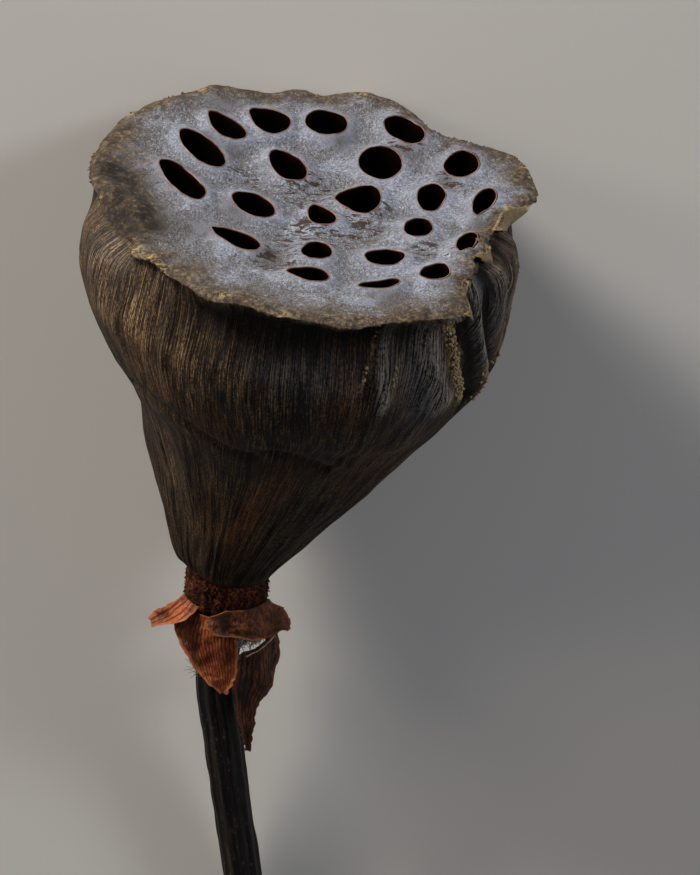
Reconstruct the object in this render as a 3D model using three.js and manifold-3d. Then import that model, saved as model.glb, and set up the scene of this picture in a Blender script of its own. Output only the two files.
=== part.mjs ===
// A dried lotus pod with a length of its stalk, laid down on its side. Millimetres, +Z up.
//
// The pod is drawn upright in a frame of its own: z runs up the pod from its narrow foot to the seed
// disc, -y is the side that faces up once it is laid down, and +y is the side that it lies on.
// A turn is an angle in degrees about z, from +x towards +y.
import * as THREE from "three";
import { mergeVertices } from "three/addons/utils/BufferGeometryUtils.js";
import Module from "manifold-3d";

const wasm = await Module();
wasm.setup();

// Driving dimensions of the pod
const DISC_HEIGHT = 94; // foot to the rim of the seed disc
const DISH_DEPTH = 4.2; // how far the middle of the disc lies below its rim
const DISH_RADIUS = 46;
const RIM_FALL = 1.6; // underside of the thin rim, below its edge
const RIM_INSET = 1.2;
const MARGIN_WIDTH = 3; // rounded border between the rim's edge and the dished disc
const PLAIN_RINGS = 2; // rings at the foot that no fold reaches
const COLUMNS = 96;
const DISC_STEPS = [0.84, 0.64, 0.42, 0.2]; // rows of the disc, as shares of its margin's radius

// Driving dimensions of the pits, the collar, the stalk and the tepals
const PIT_DEPTH = 14;
const PIT_SIDES = 12;
const PIT_LEAN = 0.5; // 0 is straight down, 1 points at the foot
const FOOT = [-11, -11];
const COLLAR_RADIUS = 9.5;
const COLLAR_HEIGHT = 9.5;
const COLLAR_SCARS = 18;
const SIDES_PER_SCAR = 4;
const SCAR_RELIEF = 0.2;
// Down the collar: [drop below its top, swell beyond its radius].
const COLLAR_PROFILE = [[0, -0.5], [0.8, 0], [4.5, 0.15], [7.6, -0.1], [COLLAR_HEIGHT, -0.9]];
const SEAT_GAP = 0.4; // between the foot, the collar and the stalk
const STALK_TOP_RADIUS = 4.9;
const STALK_END_RADIUS = 4.1;
const STALK_FLUTES = 10;
const FLUTE_RELIEF = 0.18;
const STALK_ROWS = 26;
const CANAL_RADIUS = 0.7;
const CANAL_CIRCLE = 2.2;
const CANAL_DEPTH = 6;
const CANALS = 5;
const CANAL_SIDES = 8;
const TEPAL_THICKNESS = 0.9;
const TEPAL_STEPS = 8;
const TEPAL_ROOT = 3; // height below a tepal's root over which its ripples grow
const RIPPLES_ROUND = 9; // ripples to a full turn, slanted by RIPPLE_SLANT degrees a millimetre
const RIPPLE_SLANT = 14;

// How the pod lies: the disc looks up by TILT from level, and LAID_AT is where the pod's own origin
// comes to rest. The plane z = 0 is the surface, and the back and the stalk's end are pressed flat on it.
const TILT = 22.7;
const LAID_AT = [-0.14, 4.68, 13.12];

// Rings of the pod from the foot up: centre [x, y], rows to the next ring, keys [turn, radius, height].
const RINGS = [
  {
    centre: FOOT,
    rows: 2,
    keys: [[0, 9.8, 0.8], [90, 9.6, -1], [180, 9.8, 0.4], [270, 9.6, 2.4]],
  },
  {
    centre: [-10.5, -10],
    rows: 3,
    keys: [[0, 13.2, 5.5], [90, 13.6, 5], [180, 13.4, 5.5], [225, 12, 6], [270, 11.6, 6.5], [315, 12.2, 6]],
  },
  {
    centre: [-8, -8],
    rows: 3,
    keys: [
      [0, 20, 17], [90, 20.5, 17], [180, 20, 17], [215, 18, 17.5], [240, 16.5, 17.5],
      [270, 17, 17.5], [310, 18, 17], [335, 19, 16.5],
    ],
  },
  {
    centre: [-5, -5.5],
    rows: 3,
    keys: [
      [0, 27.5, 30], [90, 28, 30], [180, 27.5, 31], [205, 25.5, 32], [225, 25, 32.5],
      [250, 24, 33], [275, 24.5, 32.5], [305, 25, 31], [330, 26.5, 29.5],
    ],
  },
  {
    centre: [-2, -3.5],
    rows: 2,
    keys: [
      [0, 35, 42], [45, 35, 42], [90, 34.5, 43], [165, 34, 45], [190, 34, 46], [210, 34, 47.5],
      [228, 34.5, 49], [250, 35, 50.5], [275, 34.5, 51], [300, 34, 48.5], [325, 35, 45.5], [343, 35, 43.5],
    ],
  },
  {
    centre: [-1, -2.5],
    rows: 2,
    keys: [
      [0, 39, 49.5], [45, 39, 50], [90, 38, 50.5], [165, 37.5, 51.5], [190, 38, 51.5], [208, 38, 52.5],
      [228, 39.5, 54], [250, 40, 55.5], [275, 39.5, 56], [300, 39, 53.5], [325, 39, 51.5], [343, 39, 50],
    ],
  },
  {
    centre: [-1, -2],
    rows: 3,
    keys: [
      [0, 46, 61.5], [45, 44.5, 61], [90, 43, 61], [135, 44, 61], [180, 44.5, 61.5], [200, 43.5, 61.5],
      [222, 43, 62], [270, 43, 62.5], [300, 43, 61.5], [325, 44.5, 61], [343, 45.5, 61],
    ],
  },
  {
    centre: [-1.5, -1.5],
    rows: 3,
    keys: [
      [0, 49, 74], [45, 47.5, 74], [90, 46.5, 74], [135, 47.5, 74], [180, 49, 75], [205, 48, 75],
      [225, 46.5, 74.5], [245, 45.5, 74], [270, 45, 73.5], [300, 45.5, 73.5], [325, 47.5, 74],
      [343, 48.5, 74],
    ],
  },
  {
    centre: [-1, -1],
    rows: 3,
    keys: [
      [0, 48, 89], [30, 47, 87.5], [60, 46, 86.5], [90, 45.5, 86], [135, 46.5, 86], [165, 48, 85.5],
      [185, 49, 86], [205, 47.5, 86.5], [225, 44.5, 87], [250, 43, 87], [280, 43, 87.5], [305, 45, 88.5],
      [325, 47, 90], [345, 48, 90.5],
    ],
  },
];

// The wavy edge of the seed disc, one lobe or notch after another: [turn, radius, height].
const RIM = [
  [5, 44, 95], [10, 48.5, 94], [16, 52.5, 94], [24, 54, 94.5], [34, 54.5, 95], [40, 51.5, 95],
  [48, 49, 94.5], [57, 48.5, 94], [65, 52, 94.5], [72, 54.5, 95], [78, 55, 95.5], [84, 54, 95],
  [90, 52, 94.5], [96, 53.5, 95], [103, 51.5, 94.5], [110, 53.5, 95], [116, 55.5, 95.5], [124, 55.5, 95],
  [133, 55.5, 94.5], [141, 55.5, 94], [150, 54.5, 93.5], [158, 53, 93], [167, 52, 93], [177, 49.5, 93],
  [188, 46.5, 92.5], [201, 44, 92.5], [211, 44, 93], [217, 47.5, 93], [224, 46, 93.5], [232, 46.5, 93],
  [240, 48, 93.5], [247, 50, 93.5], [254, 48.5, 94], [262, 50, 94], [273, 51, 94], [282, 52.5, 93.5],
  [289, 52, 94], [297, 52, 94], [304, 53.5, 94], [310, 53.5, 94.5], [315, 47.5, 94.5], [323, 45, 95],
  [331, 43, 95], [341, 41, 95], [350, 41, 95], [356, 42, 95.5],
];

// Folds of the dried wall: how deep and how wide, and the path [turn, height] from top to bottom.
// A negative depth is a raised pleat.
const FOLDS = [
  { depth: 2.6, width: 3.4, path: [[317, 90], [320, 82], [324, 74], [329, 66], [336, 60]] },
  { depth: -1.6, width: 3.2, path: [[309, 90], [311, 82], [314, 73], [318, 66]] },
  { depth: 2, width: 3.2, path: [[334, 93], [331, 86], [335, 77], [339, 70]] },
  { depth: -1.4, width: 3, path: [[345, 92], [340, 86], [343, 77]] },
  { depth: 1.4, width: 3.2, path: [[352, 92], [349, 86], [352, 78]] },
  { depth: -1, width: 2.6, path: [[297, 89], [296, 80], [298, 70]] },
];
const FOLD_FADE = 5; // height over which a fold dies out at each end

// Seed pits: [x, y, long, short, turn of the long side, how pointed its far end is].
const PITS = [
  [-21.5, 32, 11.5, 6.5, 135, 0.3],
  [-12, 36.5, 10.5, 8, 148, 0.4],
  [1.5, 38, 10, 9.5, 170, 0],
  [19.5, 37, 12, 7.5, 132, 0],
  [-26, 21, 16, 8, 126, 0],
  [-29.5, 6, 17, 7, 126, 0.1],
  [-6.5, 20, 13.5, 7.5, 118, 0.2],
  [14.5, 24, 13.5, 10, 100, 0],
  [33, 24, 10.5, 8, 84, 0.1],
  [-13, 0.5, 11.5, 8, 139, 0],
  [2, -0.5, 9, 6, 115, 0.35],
  [10, 8, 10.5, 12, 175, 0.45],
  [26.5, 10.5, 12, 6.5, 86, 0],
  [38, 7, 13, 4.6, 257, 0.4],
  [24, -3.5, 9, 6.5, 83, 0],
  [34.5, -12, 10.5, 4.4, 260, 0.2],
  [-16, -16.5, 13, 6.5, 145, 0.35],
  [2, -18, 9.5, 7, 88, 0.1],
  [17, -18, 9, 8, 13, 0],
  [0.5, -30, 9.5, 6.5, 166, 0.35],
  [16, -32, 9.5, 5, 198, 0.3],
  [28, -26, 9, 6.5, 77, 0],
];
// The inside of a pit from above its mouth down: [depth, size as a share of the mouth].
const PIT_PROFILE = [[-2.5, 1.08], [0.4, 1], [7, 1.1], [12, 0.9], [PIT_DEPTH, 0.45]];

// The stalk's centre line, from the collar to its cut end.
const STALK_PATH = [
  [-11, -11.2, -9.7], [-11.2, -12.9, -19], [-11.6, -15, -28], [-8.4, -18, -43],
  [-5, -21, -59], [-1, -25, -76], [3.5, -29, -94],
];

// What is left of the tepals: how far each stands out from the collar's axis at a height, and its rows
// [height, first turn, last turn] from the root down.
const TEPALS = [
  {
    name: "tepal_front",
    wave: 0.35,
    flare: [[-5.5, 10.6], [-12, 11.4], [-26, 13.8]],
    rows: [
      [-6, 246, 272], [-7.8, 242, 282], [-8.8, 236, 286], [-10.5, 218, 288.5], [-12.2, 205, 288.5],
      [-14.5, 226, 288], [-17.2, 241, 288.5], [-19.6, 251, 284], [-22.4, 260, 281], [-24.3, 274, 278.5],
    ],
  },
  {
    name: "tepal_long",
    wave: 0.3,
    flare: [[-6.5, 10.6], [-9, 10.7], [-16, 11.6], [-45, 15]],
    rows: [
      [-6.5, 300, 352], [-9, 298, 357], [-13.3, 296, 363], [-16, 291.5, 365], [-19, 291, 365],
      [-22, 291.3, 363], [-24.3, 292, 348], [-26.4, 292.5, 325], [-29.2, 293.5, 315.5], [-32, 295, 311],
      [-36.3, 298.5, 308], [-41.5, 302, 304.5],
    ],
  },
  {
    name: "tepal_left",
    wave: 0.5,
    flare: [[-4.8, 10.6], [-9, 13.6], [-14, 17]],
    rows: [
      [-4.8, 205, 232], [-6.2, 203, 230], [-7.6, 199, 226], [-9, 195, 221], [-11.4, 190, 208],
      [-13.1, 192, 199],
    ],
  },
  {
    name: "tepal_right",
    wave: 0.4,
    flare: [[-2.8, 10.6], [-7, 12.2], [-16, 15.6]],
    rows: [
      [-2.8, 276, 336], [-4, 263, 340], [-6, 260, 347], [-7, 264, 351], [-8, 273, 355],
      [-8.8, 281, 356], [-9.6, 320, 356], [-10.8, 340, 357], [-12.7, 349, 355],
    ],
  },
];

const COLOURS = {
  receptacle: 0x4a3c30,
  stamen_ring: 0x6b3218,
  tepal: 0x8a4a2a,
  stalk: 0x241c19,
};

const radians = THREE.MathUtils.degToRad;

// Value of a column of keys round a closed ring, on a smooth curve through them.
function around(keys, turn, column) {
  const count = keys.length;
  const at = (i) => {
    const lap = Math.floor(i / count);
    const key = keys[i - lap * count];
    return [key[0] + 360 * lap, key[column]];
  };
  let i = 0;
  const wanted = turn < keys[0][0] ? turn + 360 : turn;
  while (at(i + 1)[0] <= wanted) i += 1;
  const [before, start, end, after] = [at(i - 1), at(i), at(i + 1), at(i + 2)];
  const span = end[0] - start[0];
  const t = (wanted - start[0]) / span;
  const slopeIn = ((end[1] - before[1]) / (end[0] - before[0])) * span;
  const slopeOut = ((after[1] - start[1]) / (after[0] - start[0])) * span;
  return (
    (2 * t ** 3 - 3 * t ** 2 + 1) * start[1] +
    (t ** 3 - 2 * t ** 2 + t) * slopeIn +
    (3 * t ** 2 - 2 * t ** 3) * end[1] +
    (t ** 3 - t ** 2) * slopeOut
  );
}

// Value on a list of straight stretches [position, value], held level past both ends.
function along(list, position) {
  const sign = Math.sign(list.at(-1)[0] - list[0][0]);
  const next = list.findIndex((key) => (key[0] - position) * sign >= 0);
  if (next === -1) return list.at(-1)[1];
  if (next === 0) return list[0][1];
  const [from, to] = [list[next - 1], list[next]];
  return from[1] + ((to[1] - from[1]) * (position - from[0])) / (to[0] - from[0]);
}

function polar(centre, radius, turn, height) {
  const a = radians(turn);
  return new THREE.Vector3(centre[0] + radius * Math.cos(a), centre[1] + radius * Math.sin(a), height);
}

// Closed geometry over a stack of equal rings, whose two ends are closed by fans to their middles.
function loft(rings) {
  const count = rings[0].length;
  const middle = (ring) =>
    ring.reduce((sum, point) => sum.add(point), new THREE.Vector3()).divideScalar(count);
  const points = [...rings.flat(), middle(rings[0]), middle(rings.at(-1))];
  const faces = [];
  const [first, last] = [points.length - 2, points.length - 1];
  const top = (rings.length - 1) * count;
  for (let side = 0; side < count; side += 1) {
    const next = (side + 1) % count;
    for (let row = 0; row < top; row += count) {
      faces.push(row + side, row + next, row + count + next);
      faces.push(row + side, row + count + next, row + count + side);
    }
    faces.push(first, next, side);
    faces.push(last, top + side, top + next);
  }
  const geometry = new THREE.BufferGeometry().setFromPoints(points);
  return geometry.setIndex(faces);
}

function solid(geometry) {
  const bare = new THREE.BufferGeometry().setAttribute("position", geometry.getAttribute("position"));
  bare.setIndex(geometry.index);
  const merged = mergeVertices(bare, 1e-4);
  return new wasm.Manifold(
    new wasm.Mesh({
      numProp: 3,
      vertProperties: new Float32Array(merged.getAttribute("position").array),
      triVerts: new Uint32Array(merged.index.array),
    }),
  );
}

function geometryOf(body) {
  const mesh = body.getMesh();
  const geometry = new THREE.BufferGeometry();
  geometry.setAttribute("position", new THREE.BufferAttribute(mesh.vertProperties, 3));
  geometry.setIndex(new THREE.BufferAttribute(mesh.triVerts, 1));
  return geometry;
}

const DOWN = new THREE.Vector3(0, -Math.cos(radians(TILT)), Math.sin(radians(TILT)));

// A point that would lie under the surface is pressed up to it, which leaves the small flat spots.
function press(point) {
  const height = LAID_AT[2] + point.dot(DOWN);
  if (height < 0) point.addScaledVector(DOWN, -height);
  return point;
}

// How far the folds pull the wall in at a turn, a height and a radius.
function foldDepth(turn, height, radius) {
  let depth = 0;
  for (const fold of FOLDS) {
    const heights = fold.path.map((key) => key[1]);
    const middle = along(fold.path.map(([t, h]) => [h, t]), height);
    const apart = (((turn - middle + 540) % 360) - 180) * radians(1) * radius;
    const past = Math.max(height - heights[0], heights.at(-1) - height, 0);
    depth += fold.depth * Math.exp(-((apart / fold.width) ** 2) - (past / FOLD_FADE) ** 2);
  }
  return depth;
}

function dishHeight(x, y) {
  return DISC_HEIGHT - DISH_DEPTH + DISH_DEPTH * ((x * x + y * y) / DISH_RADIUS ** 2);
}

// One column of the pod's skin at a turn, from the foot to the middle of the disc.
function podColumn(turn) {
  const radius = around(RIM, turn, 1);
  const height = around(RIM, turn, 2);
  const margin = polar([0, 0], radius - MARGIN_WIDTH, turn, 0);
  margin.z = (height + dishHeight(margin.x, margin.y)) / 2;
  const keys = RINGS.map((ring) =>
    polar(ring.centre, around(ring.keys, turn, 1), turn, around(ring.keys, turn, 2)),
  );
  keys.push(polar([0, 0], radius - RIM_INSET, turn, height - RIM_FALL));
  keys.push(polar([0, 0], radius, turn, height - RIM_FALL / 4));
  keys.push(margin);
  const rows = [...RINGS.map((ring) => ring.rows), 1, 1];
  const curve = new THREE.CatmullRomCurve3(keys, false, "centripetal");
  const column = [];
  rows.forEach((count, key) => {
    for (let step = 0; step < count; step += 1) {
      const point = curve.getPoint((key + step / count) / rows.length);
      if (key >= PLAIN_RINGS && key < RINGS.length) {
        const reach = Math.hypot(point.x, point.y);
        point.addScaledVector(polar([0, 0], 1, turn, 0), -foldDepth(turn, point.z, reach));
      }
      column.push(press(point));
    }
  });
  column.push(margin);
  for (const share of DISC_STEPS) {
    const [x, y] = [margin.x * share, margin.y * share];
    column.push(new THREE.Vector3(x, y, dishHeight(x, y)));
  }
  return column;
}

function podBody() {
  const columns = Array.from({ length: COLUMNS }, (_, i) => podColumn((i * 360) / COLUMNS));
  const rings = columns[0].map((_, row) => columns.map((column) => column[row]));
  return solid(loft(rings));
}

// The hollow of one seed pit, which widens below its mouth and leans towards the foot.
function pitHollow([x, y, long, short, turn, point]) {
  const mouth = dishHeight(x, y);
  const lean = [(PIT_LEAN * (FOOT[0] - x)) / mouth, (PIT_LEAN * (FOOT[1] - y)) / mouth];
  const rings = PIT_PROFILE.map(([depth, share]) =>
    Array.from({ length: PIT_SIDES }, (_, side) => {
      const a = (side * 2 * Math.PI) / PIT_SIDES;
      const ahead = (share * long * Math.cos(a)) / 2;
      const aside = ((share * short * Math.sin(a)) / 2) * (1 - point * Math.cos(a));
      const spot = new THREE.Vector3(ahead, aside, 0);
      spot.applyAxisAngle(new THREE.Vector3(0, 0, 1), radians(turn));
      return spot.add(new THREE.Vector3(x + lean[0] * depth, y + lean[1] * depth, mouth - depth));
    }),
  );
  return solid(loft(rings.reverse()));
}

function receptacle() {
  return geometryOf(PITS.reduce((pod, pit) => pod.subtract(pitHollow(pit)), podBody()));
}

// The collar of stamen scars round the foot: slanted as the foot is, with a rib for each row of scars.
function stamenRing() {
  const sides = COLLAR_SCARS * SIDES_PER_SCAR;
  const rings = COLLAR_PROFILE.map(([drop, swell]) =>
    Array.from({ length: sides }, (_, side) => {
      const turn = (side * 360) / sides;
      const scar = SCAR_RELIEF * Math.cos(radians(turn) * COLLAR_SCARS);
      const height = around(RINGS[0].keys, turn, 2) - SEAT_GAP - drop;
      return polar(FOOT, COLLAR_RADIUS + swell + scar, turn, height);
    }),
  );
  return loft(rings.reverse());
}

// The stalk: a fluted rod along its centre line, cut across at the end to show its air canals.
function stalk() {
  const curve = new THREE.CatmullRomCurve3(STALK_PATH.map((p) => new THREE.Vector3(...p)));
  const sides = STALK_FLUTES * 2;
  const across = new THREE.Vector3(1, 0, 0);
  const frameAt = (share) => {
    const ahead = curve.getTangentAt(share);
    const up = new THREE.Vector3().crossVectors(ahead, across).normalize();
    return { ahead, up, side: new THREE.Vector3().crossVectors(up, ahead) };
  };
  const rings = Array.from({ length: STALK_ROWS + 1 }, (_, row) => {
    const share = row / STALK_ROWS;
    const { up, side } = frameAt(share);
    const radius = THREE.MathUtils.lerp(STALK_TOP_RADIUS, STALK_END_RADIUS, share);
    return Array.from({ length: sides }, (_, k) => {
      const a = (k * 2 * Math.PI) / sides;
      const reach = radius + FLUTE_RELIEF * (k % 2 ? -1 : 1);
      const point = curve.getPointAt(share).addScaledVector(side, reach * Math.cos(a));
      return press(point.addScaledVector(up, reach * Math.sin(a)));
    });
  });
  let rod = solid(loft(rings));
  const { ahead, up, side } = frameAt(1);
  for (let canal = 0; canal < CANALS; canal += 1) {
    const a = (canal * 2 * Math.PI) / CANALS;
    const bore = new THREE.CylinderGeometry(CANAL_RADIUS, CANAL_RADIUS, 2 * CANAL_DEPTH, CANAL_SIDES);
    const centre = curve.getPointAt(1).addScaledVector(side, CANAL_CIRCLE * Math.cos(a));
    centre.addScaledVector(up, CANAL_CIRCLE * Math.sin(a));
    bore.applyQuaternion(new THREE.Quaternion().setFromUnitVectors(new THREE.Vector3(0, 1, 0), ahead));
    bore.translate(...centre);
    rod = rod.subtract(solid(bore));
  }
  return geometryOf(rod);
}

// A papery tepal: a thin waved sheet, its outer and inner faces split into triangles alike.
function tepal({ rows, flare, wave }) {
  const rings = rows.map(([height, first, last]) => {
    const face = (offset) =>
      Array.from({ length: TEPAL_STEPS + 1 }, (_, step) => {
        const turn = first + ((last - first) * step) / TEPAL_STEPS;
        const ripple = wave * (1 + Math.sin(radians(turn * RIPPLES_ROUND + height * RIPPLE_SLANT)));
        const rise = Math.min((rows[0][0] - height) / TEPAL_ROOT, 1);
        return polar(FOOT, along(flare, height) + ripple * rise + offset, turn, height);
      });
    return [...face(TEPAL_THICKNESS / 2), ...face(-TEPAL_THICKNESS / 2).reverse()];
  });
  return sheet(rings.reverse());
}

// Closed geometry over a stack of flat loops, each an outer row and the same inner row backwards.
function sheet(loops) {
  const count = loops[0].length;
  const points = loops.flat();
  const faces = [];
  const quad = (a, b, c, d) => faces.push(a, b, c, a, c, d);
  for (let row = 0; row < loops.length - 1; row += 1) {
    for (let side = 0; side < count; side += 1) {
      const next = (side + 1) % count;
      const [low, high] = [row * count, (row + 1) * count];
      if (side < count / 2) quad(low + side, low + next, high + next, high + side);
      else quad(low + next, high + next, high + side, low + side);
    }
  }
  const top = (loops.length - 1) * count;
  for (let step = 0; step < count / 2 - 1; step += 1) {
    const back = count - 1 - step;
    quad(step, back, back - 1, step + 1);
    quad(top + step, top + step + 1, top + back - 1, top + back);
  }
  return new THREE.BufferGeometry().setFromPoints(points).setIndex(faces);
}

function mesh(name, geometry, color, roughness) {
  const piece = new THREE.Mesh(geometry, new THREE.MeshStandardMaterial({ color, roughness, metalness: 0 }));
  piece.name = name;
  return piece;
}

const pod = new THREE.Group();
pod.add(mesh("receptacle", receptacle(), COLOURS.receptacle, 0.8));
pod.add(mesh("stamen_ring", stamenRing(), COLOURS.stamen_ring, 0.9));
pod.add(mesh("stalk", stalk(), COLOURS.stalk, 0.7));
for (const leaf of TEPALS) pod.add(mesh(leaf.name, tepal(leaf), COLOURS.tepal, 0.7));

// Laid down: half a turn about the upright, then tipped over on its back.
pod.rotation.set(radians(TILT - 90), 0, Math.PI, "ZYX");
pod.position.set(...LAID_AT);

const part = new THREE.Group();
part.add(pod);

export default part;
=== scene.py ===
"""A dried lotus pod with a length of its stalk, lying on its side on a pale floor.

The pod is drawn upright in a frame of its own, in millimetres: z runs up the pod from its narrow foot
to the seed disc, -y is the side that looks up once it lies down, and a turn is an angle in degrees
about z. lay() takes points of that frame to where the CAD model has the pod, in metres.
"""
import math

import bpy
import numpy as np
from mathutils import Matrix, Vector, noise


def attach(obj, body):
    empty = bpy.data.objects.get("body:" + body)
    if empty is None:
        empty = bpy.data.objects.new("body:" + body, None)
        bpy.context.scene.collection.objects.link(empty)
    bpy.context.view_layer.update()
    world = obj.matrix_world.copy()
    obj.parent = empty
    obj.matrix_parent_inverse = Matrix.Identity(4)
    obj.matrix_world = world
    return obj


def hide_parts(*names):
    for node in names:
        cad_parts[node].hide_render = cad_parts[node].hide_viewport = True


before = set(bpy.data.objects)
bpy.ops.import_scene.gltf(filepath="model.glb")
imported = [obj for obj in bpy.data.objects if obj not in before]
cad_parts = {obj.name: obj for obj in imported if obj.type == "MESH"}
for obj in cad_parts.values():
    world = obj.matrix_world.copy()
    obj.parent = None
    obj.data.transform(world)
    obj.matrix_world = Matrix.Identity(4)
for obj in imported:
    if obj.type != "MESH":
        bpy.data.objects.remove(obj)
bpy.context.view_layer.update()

# How the pod lies: the same values as in the CAD model.
MM = 0.001
TILT = math.radians(22.7)
LAID_AT = np.array([-0.14, 4.68, 13.12])
LAY = np.array([
    [-1, 0, 0],
    [0, -math.sin(TILT), -math.cos(TILT)],
    [0, -math.cos(TILT), math.sin(TILT)],
])

# Driving dimensions of the pod, as in the CAD model
DISC_HEIGHT = 94
DISH_DEPTH = 4.2
DISH_RADIUS = 46
# How far the rim's underside lies below and inside its edge, and how far the edge is rounded down
RIM_FALL = 1.6
RIM_INSET = 1.2
EDGE_FALL = RIM_FALL / 4
# Middle of the foot, and how many rings above it stay free of folds
FOOT = (-11, -11)
PLAIN_RINGS = 2
FOLD_FADE = 5
# How far the pits lean towards the foot, as a share of the way
PIT_LEAN = 0.5

# How finely the pod is drawn
COLUMNS = 600
RIND_ROWS = [6, 14, 16, 18, 12, 14, 16, 16, 14, 4]
BED_STEPS = 100
PIT_SIDES = 56
REACH = 48  # radius at which a pattern that follows the turns has its true size
SHARP_ANGLE = math.radians(50)  # an edge bent more than this is drawn sharp

# Rings of the pod from the foot up: centre [x, y] and keys [turn, radius, height].
RINGS = [
    (FOOT, [
        [0, 9.8, 0.8], [90, 9.6, -1], [175, 9.8, 0.8], [215, 9.8, 3.4], [245, 9.6, 2.7], [290, 9.6, 2.3],
    ]),
    ((-10.5, -10), [
        [0, 13.2, 5.5], [90, 13.6, 5], [180, 13.4, 5.5], [225, 12, 6], [270, 11.6, 6.5], [315, 12.2, 6],
    ]),
    ((-8, -8), [
        [0, 20, 17], [90, 20.5, 17], [180, 20, 17], [215, 18, 17.5], [240, 16.5, 17.5],
        [270, 17, 17.5], [310, 18, 17], [335, 19, 16.5],
    ]),
    ((-5, -5.5), [
        [0, 27.5, 30], [90, 28, 30], [180, 27.5, 31], [205, 25.5, 32], [225, 25, 32.5],
        [250, 24, 33], [275, 24.5, 32.5], [305, 25, 31], [330, 26.5, 29.5],
    ]),
    ((-2, -3.5), [
        [0, 35, 42], [45, 35, 42], [90, 34.5, 43], [165, 34, 45], [190, 34, 46], [210, 34, 47.5],
        [228, 34.5, 49], [250, 35, 50.5], [275, 34.5, 51], [300, 34, 48.5], [325, 35, 45.5],
        [343, 35, 43.5],
    ]),
    ((-1, -2.5), [
        [0, 39, 49.5], [45, 39, 50], [90, 38, 50.5], [165, 37.5, 51.5], [190, 38, 51.5], [208, 38, 52.5],
        [228, 39.5, 54], [250, 40, 55.5], [275, 39.5, 56], [300, 39, 53.5], [325, 39, 51.5], [343, 39, 50],
    ]),
    ((-1, -2), [
        [0, 46, 61.5], [45, 44.5, 61], [90, 43, 61], [135, 44, 61], [180, 44.5, 61.5], [200, 43.5, 61.5],
        [222, 43, 62], [270, 43, 62.5], [300, 43, 61.5], [325, 44.5, 61], [343, 45.5, 61],
    ]),
    ((-1.5, -1.5), [
        [0, 48.2, 74], [45, 47.5, 74], [90, 46.5, 74], [135, 47.5, 74], [180, 49, 75], [205, 48, 75],
        [225, 46.5, 74.5], [245, 45.5, 74], [270, 45, 73.5], [300, 45.5, 73.5], [325, 47.5, 74],
        [343, 47.7, 74],
    ]),
    ((-1, -1), [
        [0, 46.6, 90.5], [15, 46.6, 90.3], [30, 46.6, 88.5], [60, 46, 86.5], [90, 45.5, 86],
        [135, 46.5, 86], [165, 48, 85.5], [185, 49, 86], [205, 47.5, 86.5], [225, 44.5, 87],
        [250, 43, 87], [280, 43, 87.5], [305, 45, 88.5], [325, 47, 90], [345, 47.4, 90.5],
    ]),
]

# The wavy edge of the seed disc, one lobe or notch after another: [turn, radius, height].
RIM = [
    [5, 44, 95], [10, 48.5, 94], [16, 52.5, 94], [24, 54, 94.5], [34, 54.5, 95], [40, 51.5, 95],
    [48, 49, 94.5], [57, 48.5, 94], [65, 52, 94.5], [72, 54.5, 95], [78, 55, 95.5], [84, 54, 95],
    [90, 52, 94.5], [96, 53.5, 95], [103, 51.5, 94.5], [110, 53.5, 95], [116, 55.5, 95.5],
    [124, 55.5, 95], [133, 55.5, 94.5], [141, 55.5, 94], [150, 54.5, 93.5], [158, 53, 93],
    [167, 52, 93], [177, 49.5, 93], [188, 46.5, 92.5], [201, 44, 92.5], [211, 44, 93],
    [217, 47.5, 93], [224, 46, 93.5], [232, 46.5, 93], [240, 48, 93.5], [247, 50, 93.5],
    [254, 48.5, 94], [262, 50, 94], [273, 51, 94], [282, 52.5, 93.5], [289, 52, 94], [297, 52, 94],
    [304, 53.5, 94], [310, 54, 93.6], [314.5, 51.5, 93], [318, 46, 94.6], [324, 44.8, 95],
    [329, 42.6, 95.3], [335, 41.4, 95.5], [339, 42.6, 94.6], [343, 41, 95], [350, 41, 95],
    [356, 42, 95.5],
]
# On the left the rim doesn't overhang: there the wall rolls over into the disc. Middle and half width.
SHOULDER = (198, 13)

# Folds of the dried wall: depth (raised if negative), width, and the path [turn, height] downwards.
FOLDS = [
    (2.8, 2.8, [[317, 93], [320, 87], [322.5, 82], [326, 75], [331, 66], [336, 60]]),
    (-1.6, 3.2, [[308, 90], [310, 82], [313, 73], [318, 66]]),
    (-1.3, 1.9, [[324, 93], [325, 87], [329, 78], [335, 69], [340, 60]]),
    (2.2, 1.9, [[333, 93], [331.5, 85], [335, 77], [341, 69], [346, 61]]),
    (-0.6, 1.9, [[339, 93], [338, 86], [341, 78]]),
    (1.6, 1.8, [[347, 93], [345, 86], [348, 77], [353, 70]]),
    (-0.5, 2.2, [[356, 93], [353, 86]]),
    (1.2, 2.4, [[4, 93], [1, 86], [2, 77]]),
    (-1, 2.2, [[297, 89], [296, 80], [298, 70]]),
    (0.8, 1.8, [[292, 88], [291, 80], [292, 72]]),
]

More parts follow.
